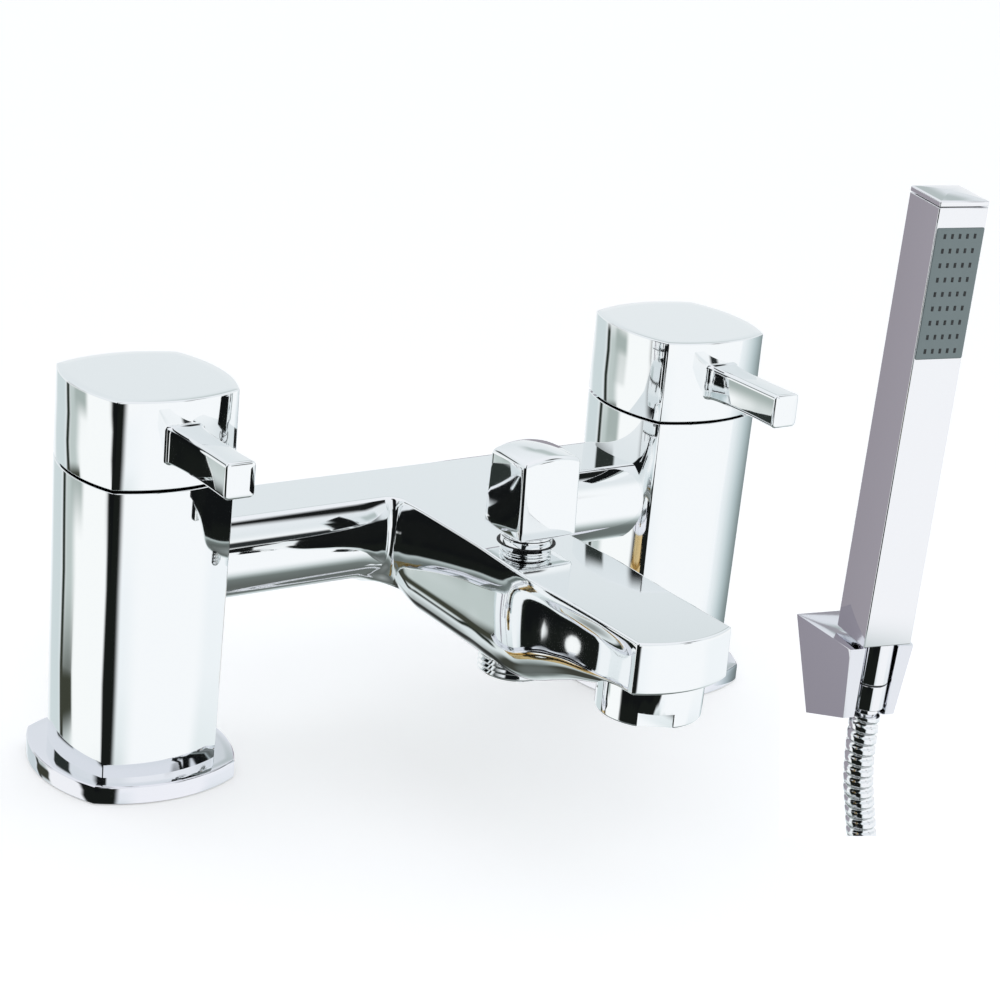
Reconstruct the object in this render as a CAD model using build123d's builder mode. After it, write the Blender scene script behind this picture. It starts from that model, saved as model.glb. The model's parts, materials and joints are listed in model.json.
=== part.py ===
# Bath shower mixer: two deck pillars with quarter-turn lever caps, a bridge that carries the
# spout, a pull-up diverter over the shower outlet, and a square handset that stands in its
# wall bracket with a ribbed metal hose.
# Millimetres. X runs along the bridge, the spout points to -Y, and Z = 0 is the deck.
import os
from math import atan2, ceil, cos, degrees, pi, radians, sin, sqrt, tan

from build123d import *

os.makedirs("parts", exist_ok=True)

# Deck and clearances
centres = 180.0
pillar_x = centres / 2
deck_t = 18.0
running = 0.08
seat_gap = 0.3
overrun = 2.0

# Base flanges
flange_half = 21.5
flange_bulge = 6.0
flange_h = 4.1
flange_round = 1.2
gasket_t = 1.5
gasket_wall = 5.0

# Pillars: bulged squares that widen a little upwards
foot_half = 17.35
head_half = 18.15
bulge = 4.2
corner_r = 1.2
seam_z = 87.8
seam_gap = 0.8
cap_top_z = 113.0

# Inlet tails and backnuts
tail_r = 13.22
tail_bore_r = 9.0
tail_drop = 46.0
tail_engage = 15.0
tail_groove_r = 12.2
tail_groove_w = 1.6
tail_end_l = 16.0
backnut_h = 7.0
backnut_flats = 32.0

# Valves inside the pillars
chamber_r = 9.5
chamber_h = 18.0
valve_seat_t = 3.0
valve_seat_r = 6.0
valve_r = 10.4
valve_collar_r = 13.0
valve_collar_h = 6.0
valve_collar_sink = 8.0
valve_skirt_r = 8.6
seal_t = 1.5
disc_t = 2.6
disc_gap = 0.05
disc_port_r = 2.6
disc_port_ring_r = 4.6
valve_window_w = 8.0
valve_window_h = 16.0
spindle_r = 4.0
spindle_head_r = 5.0
spindle_head_l = 12.0
spindle_top_gap = 2.0
spline_count = 8
spline_depth = 0.6

# Handle caps and levers
cap_wall = 3.0
cap_roof = 3.2
cap_boss_r = 7.6
cap_boss_l = 17.0
cap_edge_r = 0.4
grub_r = 2.5
grub_l = 7.0
lever_z = 100.6
lever_reach = 54.0
lever_root_w = 10.2
lever_root_h = 9.8
lever_waist_w = 7.8
lever_waist_h = 8.3
lever_tip_w = 8.4
lever_tip_h = 9.1
lever_round = 1.3
lever_waist_share = 0.42
lever_stud_r = 2.6
lever_stud_l = 2.2

# Bridge arms: flat top, full belly, rounded underside
bridge_top_z = 73.4
arm_top_half = 11.2
arm_belly_half = 15.8
arm_belly_drop = 12.0
arm_foot_half = 9.5
arm_foot_drop = 24.1
arm_depth = 27.1
arm_axis_z = 60.4
waterway_r = 5.5

# Spigots that plug the arms into the pillars
spigot_r = 8.6
spigot_l = 10.0
port_r = 8.9
ring_cord_r = 0.85
ring_groove_d = 1.4
ring_groove_w = 2.6
ring_inset = 5.4
lock_screw_r = 1.8
lock_screw_inset = 7.9
lock_screw_l = 5.0

# Spout: flat on top, deep at the outlet, shallow at the nose
spout_reach = 127.6
spout_back = 10.6
spout_half = 15.0
spout_depth = 34.6
nose_bulge = 4.0
spout_way_r = 4.5
spout_way_drop = 7.0
# Each station: place along the reach, half width at the top, full half width, depth, corner
station_shares = [
    (-0.083, 1.00, 1.00, 1.000, 0.80),
    (0.157, 0.97, 1.00, 1.000, 0.80),
    (0.420, 0.98, 1.00, 1.000, 0.80),
    (0.580, 1.06, 1.07, 0.960, 0.76),
    (0.745, 1.03, 1.05, 0.770, 0.62),
    (0.880, 1.00, 1.02, 0.510, 0.30),
    (1.070, 1.01, 1.03, 0.416, 0.06),
]

# Diverter over the shower outlet
diverter_y = -55.0
diverter_r = 8.4
gland_r = 7.15
gland_top = 3.6
gland_sink = 0.5
gland_h = 8.0
gland_plug_r = 8.3
rod_r = 3.0
piston_r = 7.4
piston_t = 3.5
piston_seal_t = 1.2
seat_t = 2.7
seat_hole_r = 5.5
spring_r = 5.2
spring_wire_r = 0.55
spring_turns = 4
knob_foot_half = 9.0
knob_head_half = 7.7
knob_bulge = 1.7
knob_h = 20.0
knob_crown = 1.4
knob_round = 1.1
knob_edge_r = 0.8
knob_gap = 0.3
knob_socket_l = 11.0

# Shower outlet nipple
outlet_r = 10.4775
outlet_bore_r = 7.5
outlet_end_z = 35.3
outlet_thread_l = 3.3
outlet_shank_r = 9.9
outlet_shank_l = 6.2
outlet_chamfer = 0.8

# Aerator
aerator_inset = 12.1
aerator_y = aerator_inset - spout_reach
aerator_r = 14.1
aerator_end_z = 48.5
aerator_neck_r = 12.0
aerator_neck_l = 5.0
aerator_bore_r = 11.0
aerator_round = 0.7
insert_sink = 1.2
insert_t = 6.0
insert_hole_r = 0.9
insert_inner_count = 6
insert_inner_r = 3.6
insert_outer_count = 12
insert_outer_r = 7.2
insert_rings = ((insert_inner_r, insert_inner_count), (insert_outer_r, insert_outer_count))
notch_w = 9.5
notch_h = 4.0
notch_d = 1.6
notch_turn = 29.0
washer_t = 1.4

# Handset: a square bar that leans out of its bracket
kit_place = (277.5, 90.45, -54.33)
kit_turn = -10.8
handset_tilt = 2.72
handset_w = 21.0
handset_l = 178.6
handset_wall = 2.0
handset_edge_r = 0.5
end_cap_h = 2.2
end_cap_crown = 1.2
cap_joint = 0.25
plate_w = 20.2
plate_l = 50.4
plate_sink = 0.8
plate_top_drop = 10.9
plate_proud = 0.2
nozzle_columns = 5
nozzle_rows = 9
nozzle_pitch_x = 3.2
nozzle_pitch_z = 5.5
nozzle_w = 0.9
nozzle_h = 1.8
nozzle_proud = 0.25
window_w = 15.0
window_l = 47.5
mat_t = 1.0
inlet_y = -3.5
inlet_r = 6.5
inlet_l = 17.3
inlet_bore_r = 3.6
ring_t = 0.7
hose_nut_l = 10.4
hose_nut_r = 6.4
ferrule_r = 4.4
ferrule_l = 3.7

# Wall bracket: a wedge that narrows downwards and forwards
bracket_front_y = -7.1
bracket_foot_y = -5.0
bracket_back_y = 24.9
bracket_front_top_half = 14.1
bracket_front_foot_half = 11.4
bracket_front_top_z = -2.4
bracket_front_foot_z = -32.1
bracket_back_top_half = 20.3
bracket_back_foot_half = 10.0
bracket_back_top_z = 0.2
bracket_back_foot_z = -43.0
slot_top_r = 7.4
slot_foot_r = 6.75
wall_hole_r = 2.2
wall_hole_pitch = 20.0
wall_hole_mid_z = -21.0
wall_hole_head_r = 4.2
wall_hole_head_y = 12.0

# Hose
hose_r = 6.0
hose_bore_r = 3.4
rib_pitch = 4.8
rib_root_r = 5.2
rib_shares = (0.0, 0.12, 0.62, 0.74)
bend_share = 0.45
gap_skip_count = 6
hose_route = [
    (277.130, 88.512, -86.560),
    (277.326, 89.538, -108.535),
    (283.5, 89.0, -134.5),
    (288.7, 85.3, -170.9),
    (292.9, 82.3, -212.6),
    (288.2, 72.9, -247.1),
    (276.6, 56.7, -272.1),
    (259.3, 32.5, -284.0),
    (241.9, 8.1, -284.0),
]
coil_outer_r = 70.0
coil_step = 12.8
coil_quarters = 12
coil_turn_back = 6
coil_tail = 52.0
coil_tail_aside = 16.0
end_nut_r = 12.0
end_nut_l = 14.0
end_nut_back = 4.0
end_nut_bore_r = 10.5
end_ferrule_r = 7.2
end_ferrule_l = 12.0
end_washer_t = 2.0
end_washer_r = 9.8
end_relief_r = 11.0
end_relief_l = 0.8


def write(piece, name):
    """Labels a finished piece and writes it out."""
    piece.part.label = name
    export_step(piece.part, f"parts/{name}.step")


def bulged_square(half, swell, round_r):
    """A square with bowed sides and small round corners, in the active sketch."""
    mid = half + swell
    with BuildLine() as outline:
        ThreePointArc((-half, -half), (0, -mid), (half, -half))
        ThreePointArc((half, -half), (mid, 0), (half, half))
        ThreePointArc((half, half), (0, mid), (-half, half))
        ThreePointArc((-half, half), (-mid, 0), (-half, -half))
    make_face(outline.edges())
    fillet(vertices(), round_r)


def ring(outer_r, inner_r):
    """A flat ring in the active sketch."""
    Circle(outer_r)
    Circle(inner_r, mode=Mode.SUBTRACT)


# Forms that several pieces follow

half_growth_share = (head_half - foot_half) / (seam_z - flange_h)


def pillar_half(z):
    """Half width of a pillar at a height: it widens steadily up to the seam."""
    return foot_half + half_growth_share * (z - flange_h)


pillar_forms = {}
for side, x in (("left", -pillar_x), ("right", pillar_x)):
    with BuildPart() as pillar_form:
        with BuildSketch(Plane((x, 0, flange_h))):
            bulged_square(foot_half, bulge, corner_r)
        with BuildSketch(Plane((x, 0, seam_z))):
            bulged_square(head_half, bulge, corner_r)
        loft(ruled=True)
    pillar_forms[side] = pillar_form.part

arm_side = pillar_half(arm_axis_z) + bulge

# Heights inside a pillar, from the inlet upwards
tail_top_z = flange_h + tail_engage
chamber_top_z = tail_top_z + chamber_h
valve_floor_z = chamber_top_z + valve_seat_t
collar_z = seam_z - valve_collar_sink
disc_z = valve_floor_z + seal_t
disc_face_z = disc_z + disc_t
disc_top_z = disc_face_z + disc_gap + disc_t
spindle_top_z = cap_top_z - cap_roof - spindle_top_gap
cap_foot_z = seam_z + seam_gap
cap_roof_z = cap_top_z - cap_roof
boss_foot_z = cap_roof_z - cap_boss_l
screw_z = spindle_top_z - spindle_head_l / 2
lever_face_y = -(head_half + bulge)
lever_run = lever_reach + lever_face_y
waist_y = lever_face_y - lever_waist_share * lever_run


def disc_ports(radius):
    """The two fan ports of a ceramic disc, in the active sketch."""
    with PolarLocations(disc_port_ring_r, 2):
        Circle(radius, mode=Mode.SUBTRACT)


for side, x in (("left", -pillar_x), ("right", pillar_x)):
    # the arm meets the pillar on the side that faces the middle
    inward = -1 if x > 0 else 1
    port_plane = Plane(origin=(x, 0, arm_axis_z), x_dir=(0, 1, 0), z_dir=(inward, 0, 0))

    with BuildPart() as base_flange:
        with BuildSketch():
            bulged_square(flange_half, flange_bulge, corner_r)
        extrude(amount=flange_h)
        fillet(base_flange.faces().sort_by(Axis.Z)[-1].edges(), flange_round)
        with BuildSketch():
            Circle(tail_r + seat_gap)
        extrude(amount=flange_h, mode=Mode.SUBTRACT)
        with BuildSketch():
            ring(tail_r + seat_gap + gasket_wall, tail_r)
        extrude(amount=gasket_t, mode=Mode.SUBTRACT)
    base_flange.part = base_flange.part.moved(Location((x, 0, 0)))
    write(base_flange, f"{side}_base_flange")

    with BuildPart() as deck_gasket:
        with BuildSketch(Plane((x, 0, 0))):
            ring(tail_r + seat_gap + gasket_wall, tail_r + seat_gap)
        extrude(amount=gasket_t)
    write(deck_gasket, f"{side}_deck_gasket")

    with BuildPart() as pillar:
        add(pillar_forms[side])
        with BuildSketch(Plane((x, 0, flange_h))):
            Circle(tail_r)
        extrude(amount=tail_engage, mode=Mode.SUBTRACT)
        with BuildSketch(Plane((x, 0, tail_top_z))):
            Circle(chamber_r)
        extrude(amount=chamber_h, mode=Mode.SUBTRACT)
        with BuildSketch(Plane((x, 0, chamber_top_z))):
            Circle(valve_seat_r)
        extrude(amount=valve_seat_t, mode=Mode.SUBTRACT)
        with BuildSketch(Plane((x, 0, valve_floor_z))):
            Circle(valve_r)
        extrude(amount=seam_z - valve_floor_z, mode=Mode.SUBTRACT)
        with BuildSketch(Plane((x, 0, collar_z))):
            Circle(valve_collar_r)
        extrude(amount=valve_collar_sink, mode=Mode.SUBTRACT)
        with BuildSketch(port_plane):
            Circle(port_r)
        extrude(amount=head_half + bulge + overrun, mode=Mode.SUBTRACT)
        # a screw from behind locks the arm's spigot
        lock_x = x + inward * (arm_side - lock_screw_inset)
        with BuildSketch(Plane(origin=(lock_x, 0, arm_axis_z), z_dir=(0, 1, 0))):
            Circle(lock_screw_r)
        extrude(amount=arm_side, mode=Mode.SUBTRACT)
    write(pillar, f"{side}_pillar")

    with BuildPart() as inlet_tail:
        with BuildSketch(Plane((x, 0, -tail_drop))):
            ring(tail_r, tail_bore_r)
        extrude(amount=tail_drop + tail_top_z)
        with BuildSketch(Plane((x, 0, -tail_drop + tail_end_l))):
            ring(tail_r, tail_groove_r)
        extrude(amount=tail_groove_w, mode=Mode.SUBTRACT)
    write(inlet_tail, f"{side}_inlet_tail")

    with BuildPart() as backnut:
        with BuildSketch(Plane((x, 0, -deck_t - backnut_h))):
            RegularPolygon(backnut_flats / 2, 6, major_radius=False)
            Circle(tail_r + running, mode=Mode.SUBTRACT)
        extrude(amount=backnut_h)
    write(backnut, f"{side}_backnut")

    with BuildPart() as valve_seal:
        with BuildSketch(Plane((x, 0, valve_floor_z))):
            ring(valve_skirt_r, valve_seat_r)
        extrude(amount=seal_t)
    write(valve_seal, f"{side}_valve_seal")

    with BuildPart() as fixed_disc:
        with BuildSketch(Plane((x, 0, disc_z))):
            Circle(valve_skirt_r)
            disc_ports(disc_port_r)
        extrude(amount=disc_t)
    write(fixed_disc, f"{side}_fixed_disc")

    with BuildPart() as moving_disc:
        with BuildSketch(Plane((x, 0, disc_face_z + disc_gap))):
            Circle(valve_skirt_r - running)
            disc_ports(disc_port_r)
        extrude(amount=disc_t)
    write(moving_disc, f"{side}_moving_disc")

    with BuildPart() as valve_body:
        with BuildSketch(Plane((x, 0, valve_floor_z))):
            Circle(valve_r)
        extrude(amount=collar_z + valve_collar_h - valve_floor_z)
        with BuildSketch(Plane((x, 0, collar_z))):
            RegularPolygon(valve_collar_r, 6)
        extrude(amount=valve_collar_h)
        with BuildSketch(Plane((x, 0, valve_floor_z))):
            Circle(valve_skirt_r)
        extrude(amount=disc_top_z + valve_window_h - valve_floor_z, mode=Mode.SUBTRACT)
        with BuildSketch(Plane((x, 0, valve_floor_z))):
            Circle(spindle_r + running)
        extrude(amount=collar_z + valve_collar_h - valve_floor_z, mode=Mode.SUBTRACT)
        with BuildSketch(Plane((x, 0, disc_top_z))):
            Rectangle(2 * valve_r, valve_window_w)
            Rectangle(valve_window_w, 2 * valve_r)
        extrude(amount=valve_window_h, mode=Mode.SUBTRACT)
    write(valve_body, f"{side}_valve_body")

    with BuildPart() as spindle:
        with BuildSketch(Plane((x, 0, disc_top_z))):
            Circle(valve_skirt_r - seat_gap)
            disc_ports(disc_port_r)
        extrude(amount=disc_t)
        with BuildSketch(Plane((x, 0, disc_top_z + disc_t))):
            Circle(spindle_r)
        extrude(amount=spindle_top_z - disc_top_z - disc_t)
        with BuildSketch(Plane((x, 0, spindle_top_z - spindle_head_l))):
            Circle(spindle_head_r)
            with PolarLocations(spindle_head_r, spline_count):
                Rectangle(2 * spline_depth, spline_depth, mode=Mode.SUBTRACT)
        extrude(amount=spindle_head_l)
    write(spindle, f"{side}_spindle")

    with BuildPart() as cap_form:
        with BuildSketch(Plane((x, 0, cap_foot_z))):
            bulged_square(head_half, bulge, corner_r)
        extrude(amount=cap_top_z - cap_foot_z)

    with BuildPart() as handle_cap:
        add(cap_form.part)
        fillet(handle_cap.faces().sort_by(Axis.Z)[-1].edges(), cap_edge_r)
        with BuildSketch(Plane((x, 0, cap_foot_z))):
            bulged_square(head_half - cap_wall, bulge, corner_r)
        extrude(amount=cap_roof_z - cap_foot_z, mode=Mode.SUBTRACT)
        with BuildSketch(Plane((x, 0, boss_foot_z))):
            ring(cap_boss_r, spindle_head_r + running)
        extrude(amount=cap_boss_l)
        with BuildSketch(Plane(origin=(x, head_half + bulge, screw_z), z_dir=(0, -1, 0))):
            Circle(grub_r)
        extrude(amount=head_half + bulge - spindle_head_r, mode=Mode.SUBTRACT)
        with BuildSketch(Plane(origin=(x, lever_face_y, lever_z), z_dir=(0, 1, 0))):
            Circle(lever_stud_r)
        extrude(amount=lever_stud_l, mode=Mode.SUBTRACT)
    write(handle_cap, f"{side}_handle_cap")

    with BuildPart() as handle_screw:
        with BuildSketch(Plane(origin=(x, spindle_head_r, screw_z), z_dir=(0, 1, 0))):
            Circle(grub_r - running)
            RegularPolygon(grub_r / 2, 6, mode=Mode.SUBTRACT)
        extrude(amount=grub_l)
    write(handle_screw, f"{side}_handle_screw")

    with BuildPart() as lever:
        for y, width, height in (
            (lever_face_y + cap_wall, lever_root_w, lever_root_h),
            (waist_y, lever_waist_w, lever_waist_h),
            (-lever_reach, lever_tip_w, lever_tip_h),
        ):
            with BuildSketch(Plane(origin=(x, y, lever_z), x_dir=(1, 0, 0), z_dir=(0, -1, 0))):
                RectangleRounded(width, height, lever_round)
        loft()
        add(cap_form.part, mode=Mode.SUBTRACT)
        with BuildSketch(Plane(origin=(x, lever_face_y + lever_stud_l, lever_z), z_dir=(0, -1, 0))):
            Circle(lever_stud_r)
        extrude(amount=2 * lever_stud_l)
    write(lever, f"{side}_lever")

# Bridge and spout in one casting

nose_y = -spout_reach
face_x = pillar_x - arm_side


def arm_section():
    """The arm's section in the active sketch: flat top, full belly, rounded underside."""
    foot_z = -arm_foot_drop
    with BuildLine() as outline:
        Line((-arm_top_half, 0), (arm_top_half, 0))
        ThreePointArc((arm_top_half, 0), (arm_belly_half, -arm_belly_drop), (arm_foot_half, foot_z))
        ThreePointArc((arm_foot_half, foot_z), (0, -arm_depth), (-arm_foot_half, foot_z))
        ThreePointArc((-arm_foot_half, foot_z), (-arm_belly_half, -arm_belly_drop), (-arm_top_half, 0))
    make_face(outline.edges())


def spout_section(top, full, depth, corner):
    """The spout's section in the active sketch, hung from its flat top."""
    foot = full - corner
    turn = corner * (1 - sqrt(1 / 2))
    with BuildLine() as outline:
        Line((-top, 0), (top, 0))
        Line((top, 0), (full, corner - depth))
        ThreePointArc((full, corner - depth), (full - turn, turn - depth), (foot, -depth))
        Line((foot, -depth), (-foot, -depth))
        ThreePointArc((-foot, -depth), (turn - full, turn - depth), (-full, corner - depth))
        Line((-full, corner - depth), (-top, 0))
    make_face(outline.edges())


with BuildPart() as spout_form:
    for reach, top, full, depth, corner in station_shares:
        station = (0, -reach * spout_reach, bridge_top_z)
        with BuildSketch(Plane(origin=station, x_dir=(1, 0, 0), z_dir=(0, -1, 0))):
            spout_section(
                top * spout_half,
                full * spout_half,
                depth * spout_depth,
                corner * spout_half,
            )
    loft()
    # the nose's face is bowed in plan
    with BuildSketch(Plane.XY.offset(bridge_top_z + overrun)):
        with BuildLine():
            ThreePointArc((-spout_half, nose_y), (0, nose_y - nose_bulge), (spout_half, nose_y))
            Polyline(
                (spout_half, nose_y),
                (2 * spout_half, nose_y),
                (2 * spout_half, spout_back),
                (-2 * spout_half, spout_back),
                (-2 * spout_half, nose_y),
                (-spout_half, nose_y),
            )
        make_face()
    extrude(amount=-(spout_depth + 2 * overrun), mode=Mode.INTERSECT)

chamber_y = diverter_y
aerator_top_z = bridge_top_z - station_shares[-1][3] * spout_depth
socket_top_z = aerator_top_z + aerator_neck_l + washer_t
seat_z = outlet_end_z + outlet_thread_l + outlet_shank_l
piston_z = seat_z + seat_t
spout_way_z = bridge_top_z - spout_way_drop
gland_foot_z = bridge_top_z - gland_h

with BuildPart() as bridge_spout:
    with BuildSketch(Plane(origin=(-pillar_x, 0, bridge_top_z), x_dir=(0, 1, 0), z_dir=(1, 0, 0))):
        arm_section()
    extrude(amount=centres)
    add(spout_form.part)
    for side, inward in (("left", 1), ("right", -1)):
        add(pillar_forms[side], mode=Mode.SUBTRACT)
        with BuildSketch(Plane(origin=(-inward * (face_x - overrun), 0, arm_axis_z), z_dir=(-inward, 0, 0))):
            Circle(spigot_r)
        extrude(amount=spigot_l + overrun)
        groove_x = -inward * (face_x + spigot_l - ring_inset)
        with BuildSketch(Plane(origin=(groove_x, 0, arm_axis_z), z_dir=(inward, 0, 0))):
            ring(spigot_r, spigot_r - ring_groove_d)
        extrude(amount=ring_groove_w, mode=Mode.SUBTRACT)
    # waterways: across the bridge, to the diverter, and on to the aerator
    with BuildSketch(Plane(origin=(-pillar_x, 0, arm_axis_z), z_dir=(1, 0, 0))):
        Circle(waterway_r)
    extrude(amount=centres, mode=Mode.SUBTRACT)
    with BuildSketch(Plane(origin=(0, 0, arm_axis_z), z_dir=(0, -1, 0))):
        Circle(waterway_r)
    extrude(amount=-chamber_y, mode=Mode.SUBTRACT)
    with BuildSketch(Plane(origin=(0, chamber_y, spout_way_z), z_dir=(0, -1, 0))):
        Circle(spout_way_r)
    extrude(amount=chamber_y - aerator_y, mode=Mode.SUBTRACT)
    with BuildSketch(Plane((0, chamber_y, piston_z))):
        Circle(diverter_r)
    extrude(amount=bridge_top_z - piston_z, mode=Mode.SUBTRACT)
    with BuildSketch(Plane((0, chamber_y, outlet_end_z))):
        Circle(outlet_shank_r)
    extrude(amount=piston_z - outlet_end_z, mode=Mode.SUBTRACT)
    # the aerator screws into a round socket under the nose
    with BuildSketch(Plane((0, aerator_y, aerator_end_z))):
        Circle(aerator_r)
    extrude(amount=aerator_top_z - aerator_end_z, mode=Mode.SUBTRACT)
    with BuildSketch(Plane((0, aerator_y, aerator_top_z))):
        Circle(aerator_neck_r)
    extrude(amount=socket_top_z - aerator_top_z, mode=Mode.SUBTRACT)
write(bridge_spout, "bridge_spout")

with BuildPart() as bridge_seals:
    for inward in (1, -1):
        groove_x = -inward * (face_x + spigot_l - ring_inset - ring_groove_w / 2)
        with BuildSketch(Plane(origin=(groove_x, 0, arm_axis_z), x_dir=(0, 0, 1), z_dir=(0, -1, 0))):
            with Locations((spigot_r - ring_groove_d + ring_cord_r, 0)):
                Circle(ring_cord_r)
        revolve(axis=Axis((0, 0, arm_axis_z), (1, 0, 0)))
write(bridge_seals, "bridge_seals")

with BuildPart() as lock_screws:
    for inward in (1, -1):
        lock_x = -inward * (face_x + lock_screw_inset)
        with BuildSketch(Plane(origin=(lock_x, spigot_r, arm_axis_z), z_dir=(0, 1, 0))):
            Circle(lock_screw_r - running)
            RegularPolygon(lock_screw_r / 2, 6, mode=Mode.SUBTRACT)
        extrude(amount=lock_screw_l)
write(lock_screws, "lock_screws")

# Diverter: gland, rod, piston and knob stand over the seat and the outlet

with BuildPart() as shower_outlet:
    with BuildSketch(Plane((0, chamber_y, outlet_end_z))):
        ring(outlet_r, outlet_bore_r)
    extrude(amount=outlet_thread_l)
    end_edges = shower_outlet.edges().filter_by(GeomType.CIRCLE).group_by(Axis.Z)[0]
    chamfer(end_edges.sort_by(SortBy.RADIUS)[-1], outlet_chamfer)
    with BuildSketch(Plane((0, chamber_y, outlet_end_z + outlet_thread_l))):
        ring(outlet_shank_r, outlet_bore_r)
    extrude(amount=outlet_shank_l)
write(shower_outlet, "shower_outlet")

with BuildPart() as diverter_seat:
    with BuildSketch(Plane((0, chamber_y, seat_z))):
        ring(outlet_shank_r, seat_hole_r)
    extrude(amount=seat_t)
write(diverter_seat, "diverter_seat")

with BuildPart() as diverter_gland:
    with BuildSketch(Plane((0, chamber_y, gland_foot_z))):
        Circle(gland_plug_r)
    extrude(amount=gland_h - gland_sink)
    with BuildSketch(Plane((0, chamber_y, gland_foot_z))):
        Circle(gland_r)
    extrude(amount=gland_h + gland_top)
    with BuildSketch(Plane((0, chamber_y, gland_foot_z))):
        Circle(rod_r + running)
    extrude(amount=gland_h + gland_top, mode=Mode.SUBTRACT)
write(diverter_gland, "diverter_gland")

seal_top_z = piston_z + seat_gap + piston_seal_t
piston_top_z = seal_top_z + piston_t
knob_z = bridge_top_z + gland_top + knob_gap
with BuildPart() as piston_seal:
    with BuildSketch(Plane((0, chamber_y, piston_z + seat_gap))):
        Circle(piston_r)
    extrude(amount=piston_seal_t)
write(piston_seal, "diverter_seal")

with BuildPart() as diverter_piston:
    with BuildSketch(Plane((0, chamber_y, seal_top_z))):
        Circle(piston_r)
        Circle(rod_r, mode=Mode.SUBTRACT)
    extrude(amount=piston_t)
write(diverter_piston, "diverter_piston")

with BuildPart() as diverter_rod:
    with BuildSketch(Plane((0, chamber_y, seal_top_z))):
        Circle(rod_r)
    extrude(amount=knob_z + knob_socket_l - seal_top_z)
write(diverter_rod, "diverter_rod")

spring_foot_z = piston_top_z + spring_wire_r + running
spring_head_z = gland_foot_z - spring_wire_r - running
spring_l = spring_head_z - spring_foot_z
with BuildPart() as diverter_spring:
    with BuildLine(Plane((0, chamber_y, spring_foot_z))):
        coil = Helix(spring_l / spring_turns, spring_l, spring_r)
    with BuildSketch(Plane(origin=coil @ 0, z_dir=coil % 0)):
        Circle(spring_wire_r)
    sweep(path=coil)
write(diverter_spring, "diverter_spring")

with BuildPart() as diverter_knob:
    with BuildSketch(Plane((0, chamber_y, knob_z))):
        bulged_square(knob_foot_half, knob_bulge, knob_round)
    with BuildSketch(Plane((0, chamber_y, knob_z + knob_h))):
        bulged_square(knob_head_half, knob_bulge, knob_round)
    loft(ruled=True)
    # a crowned top, cut by a large ball
    crown_reach = knob_head_half + knob_bulge
    crown_r = (crown_reach**2 + knob_crown**2) / (2 * knob_crown)
    with Locations((0, chamber_y, knob_z + knob_h - crown_r)):
        Sphere(crown_r, mode=Mode.INTERSECT)
    fillet(diverter_knob.faces().sort_by(Axis.Z)[-1].edges(), knob_edge_r)
    with BuildSketch(Plane((0, chamber_y, knob_z))):
        Circle(rod_r + running)
    extrude(amount=knob_socket_l + running, mode=Mode.SUBTRACT)
write(diverter_knob, "diverter_knob")

# Aerator under the nose

with BuildPart() as aerator_housing:
    with BuildSketch(Plane((0, aerator_y, aerator_end_z))):
        Circle(aerator_r)
    extrude(amount=aerator_top_z - aerator_end_z)
    fillet(aerator_housing.faces().sort_by(Axis.Z)[0].edges(), aerator_round)
    with BuildSketch(Plane((0, aerator_y, aerator_top_z))):
        Circle(aerator_neck_r - running)
    extrude(amount=aerator_neck_l)
    with BuildSketch(Plane((0, aerator_y, aerator_end_z))):
        Circle(aerator_bore_r)
    extrude(amount=aerator_top_z + aerator_neck_l - aerator_end_z, mode=Mode.SUBTRACT)
    # two flats for a spanner
    with BuildSketch(Plane((0, aerator_y, aerator_end_z))):
        with PolarLocations(aerator_r, 2, start_angle=-90 - notch_turn):
            Rectangle(2 * notch_d, notch_w)
    extrude(amount=notch_h, mode=Mode.SUBTRACT)
write(aerator_housing, "aerator_housing")

with BuildPart() as aerator_insert:
    with BuildSketch(Plane((0, aerator_y, aerator_end_z + insert_sink))):
        Circle(aerator_bore_r - running)
        for radius, hole_count in insert_rings:
            with PolarLocations(radius, hole_count):
                Circle(insert_hole_r, mode=Mode.SUBTRACT)
    extrude(amount=insert_t)
write(aerator_insert, "aerator_insert")

with BuildPart() as aerator_washer:
    with BuildSketch(Plane((0, aerator_y, aerator_top_z + aerator_neck_l))):
        ring(aerator_neck_r, aerator_bore_r - washer_t)
    extrude(amount=washer_t)
write(aerator_washer, "aerator_washer")

# Handset, in its own leaning frame: X across the front, Y to the wall, Z up the bar

turn = radians(kit_turn)
tilt = radians(handset_tilt)
across = (cos(turn), sin(turn), 0)
up_bar = (sin(turn) * sin(tilt), -cos(turn) * sin(tilt), cos(tilt))
handset_frame = Plane(origin=kit_place, x_dir=across, z_dir=up_bar)
inlet_frame = Plane(
    origin=handset_frame.from_local_coords(Vector(0, inlet_y, 0)),
    x_dir=handset_frame.x_dir,
    z_dir=handset_frame.z_dir,
)
handset_half = handset_w / 2
body_l = handset_l - end_cap_h - end_cap_crown
plate_foot = handset_l - plate_top_drop - plate_l
plate_mid = plate_foot + plate_l / 2
nut_top = -inlet_l - ring_t
nut_foot = nut_top - hose_nut_l
hose_top = nut_foot - ferrule_l


def bar_front(height, depth):
    """A plane on the bar's front side: X across, Y up the bar, its normal out of the front."""
    origin = handset_frame.from_local_coords(Vector(0, depth - handset_half, height))
    return Plane(origin=origin, x_dir=handset_frame.x_dir, z_dir=-handset_frame.y_dir)


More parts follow.
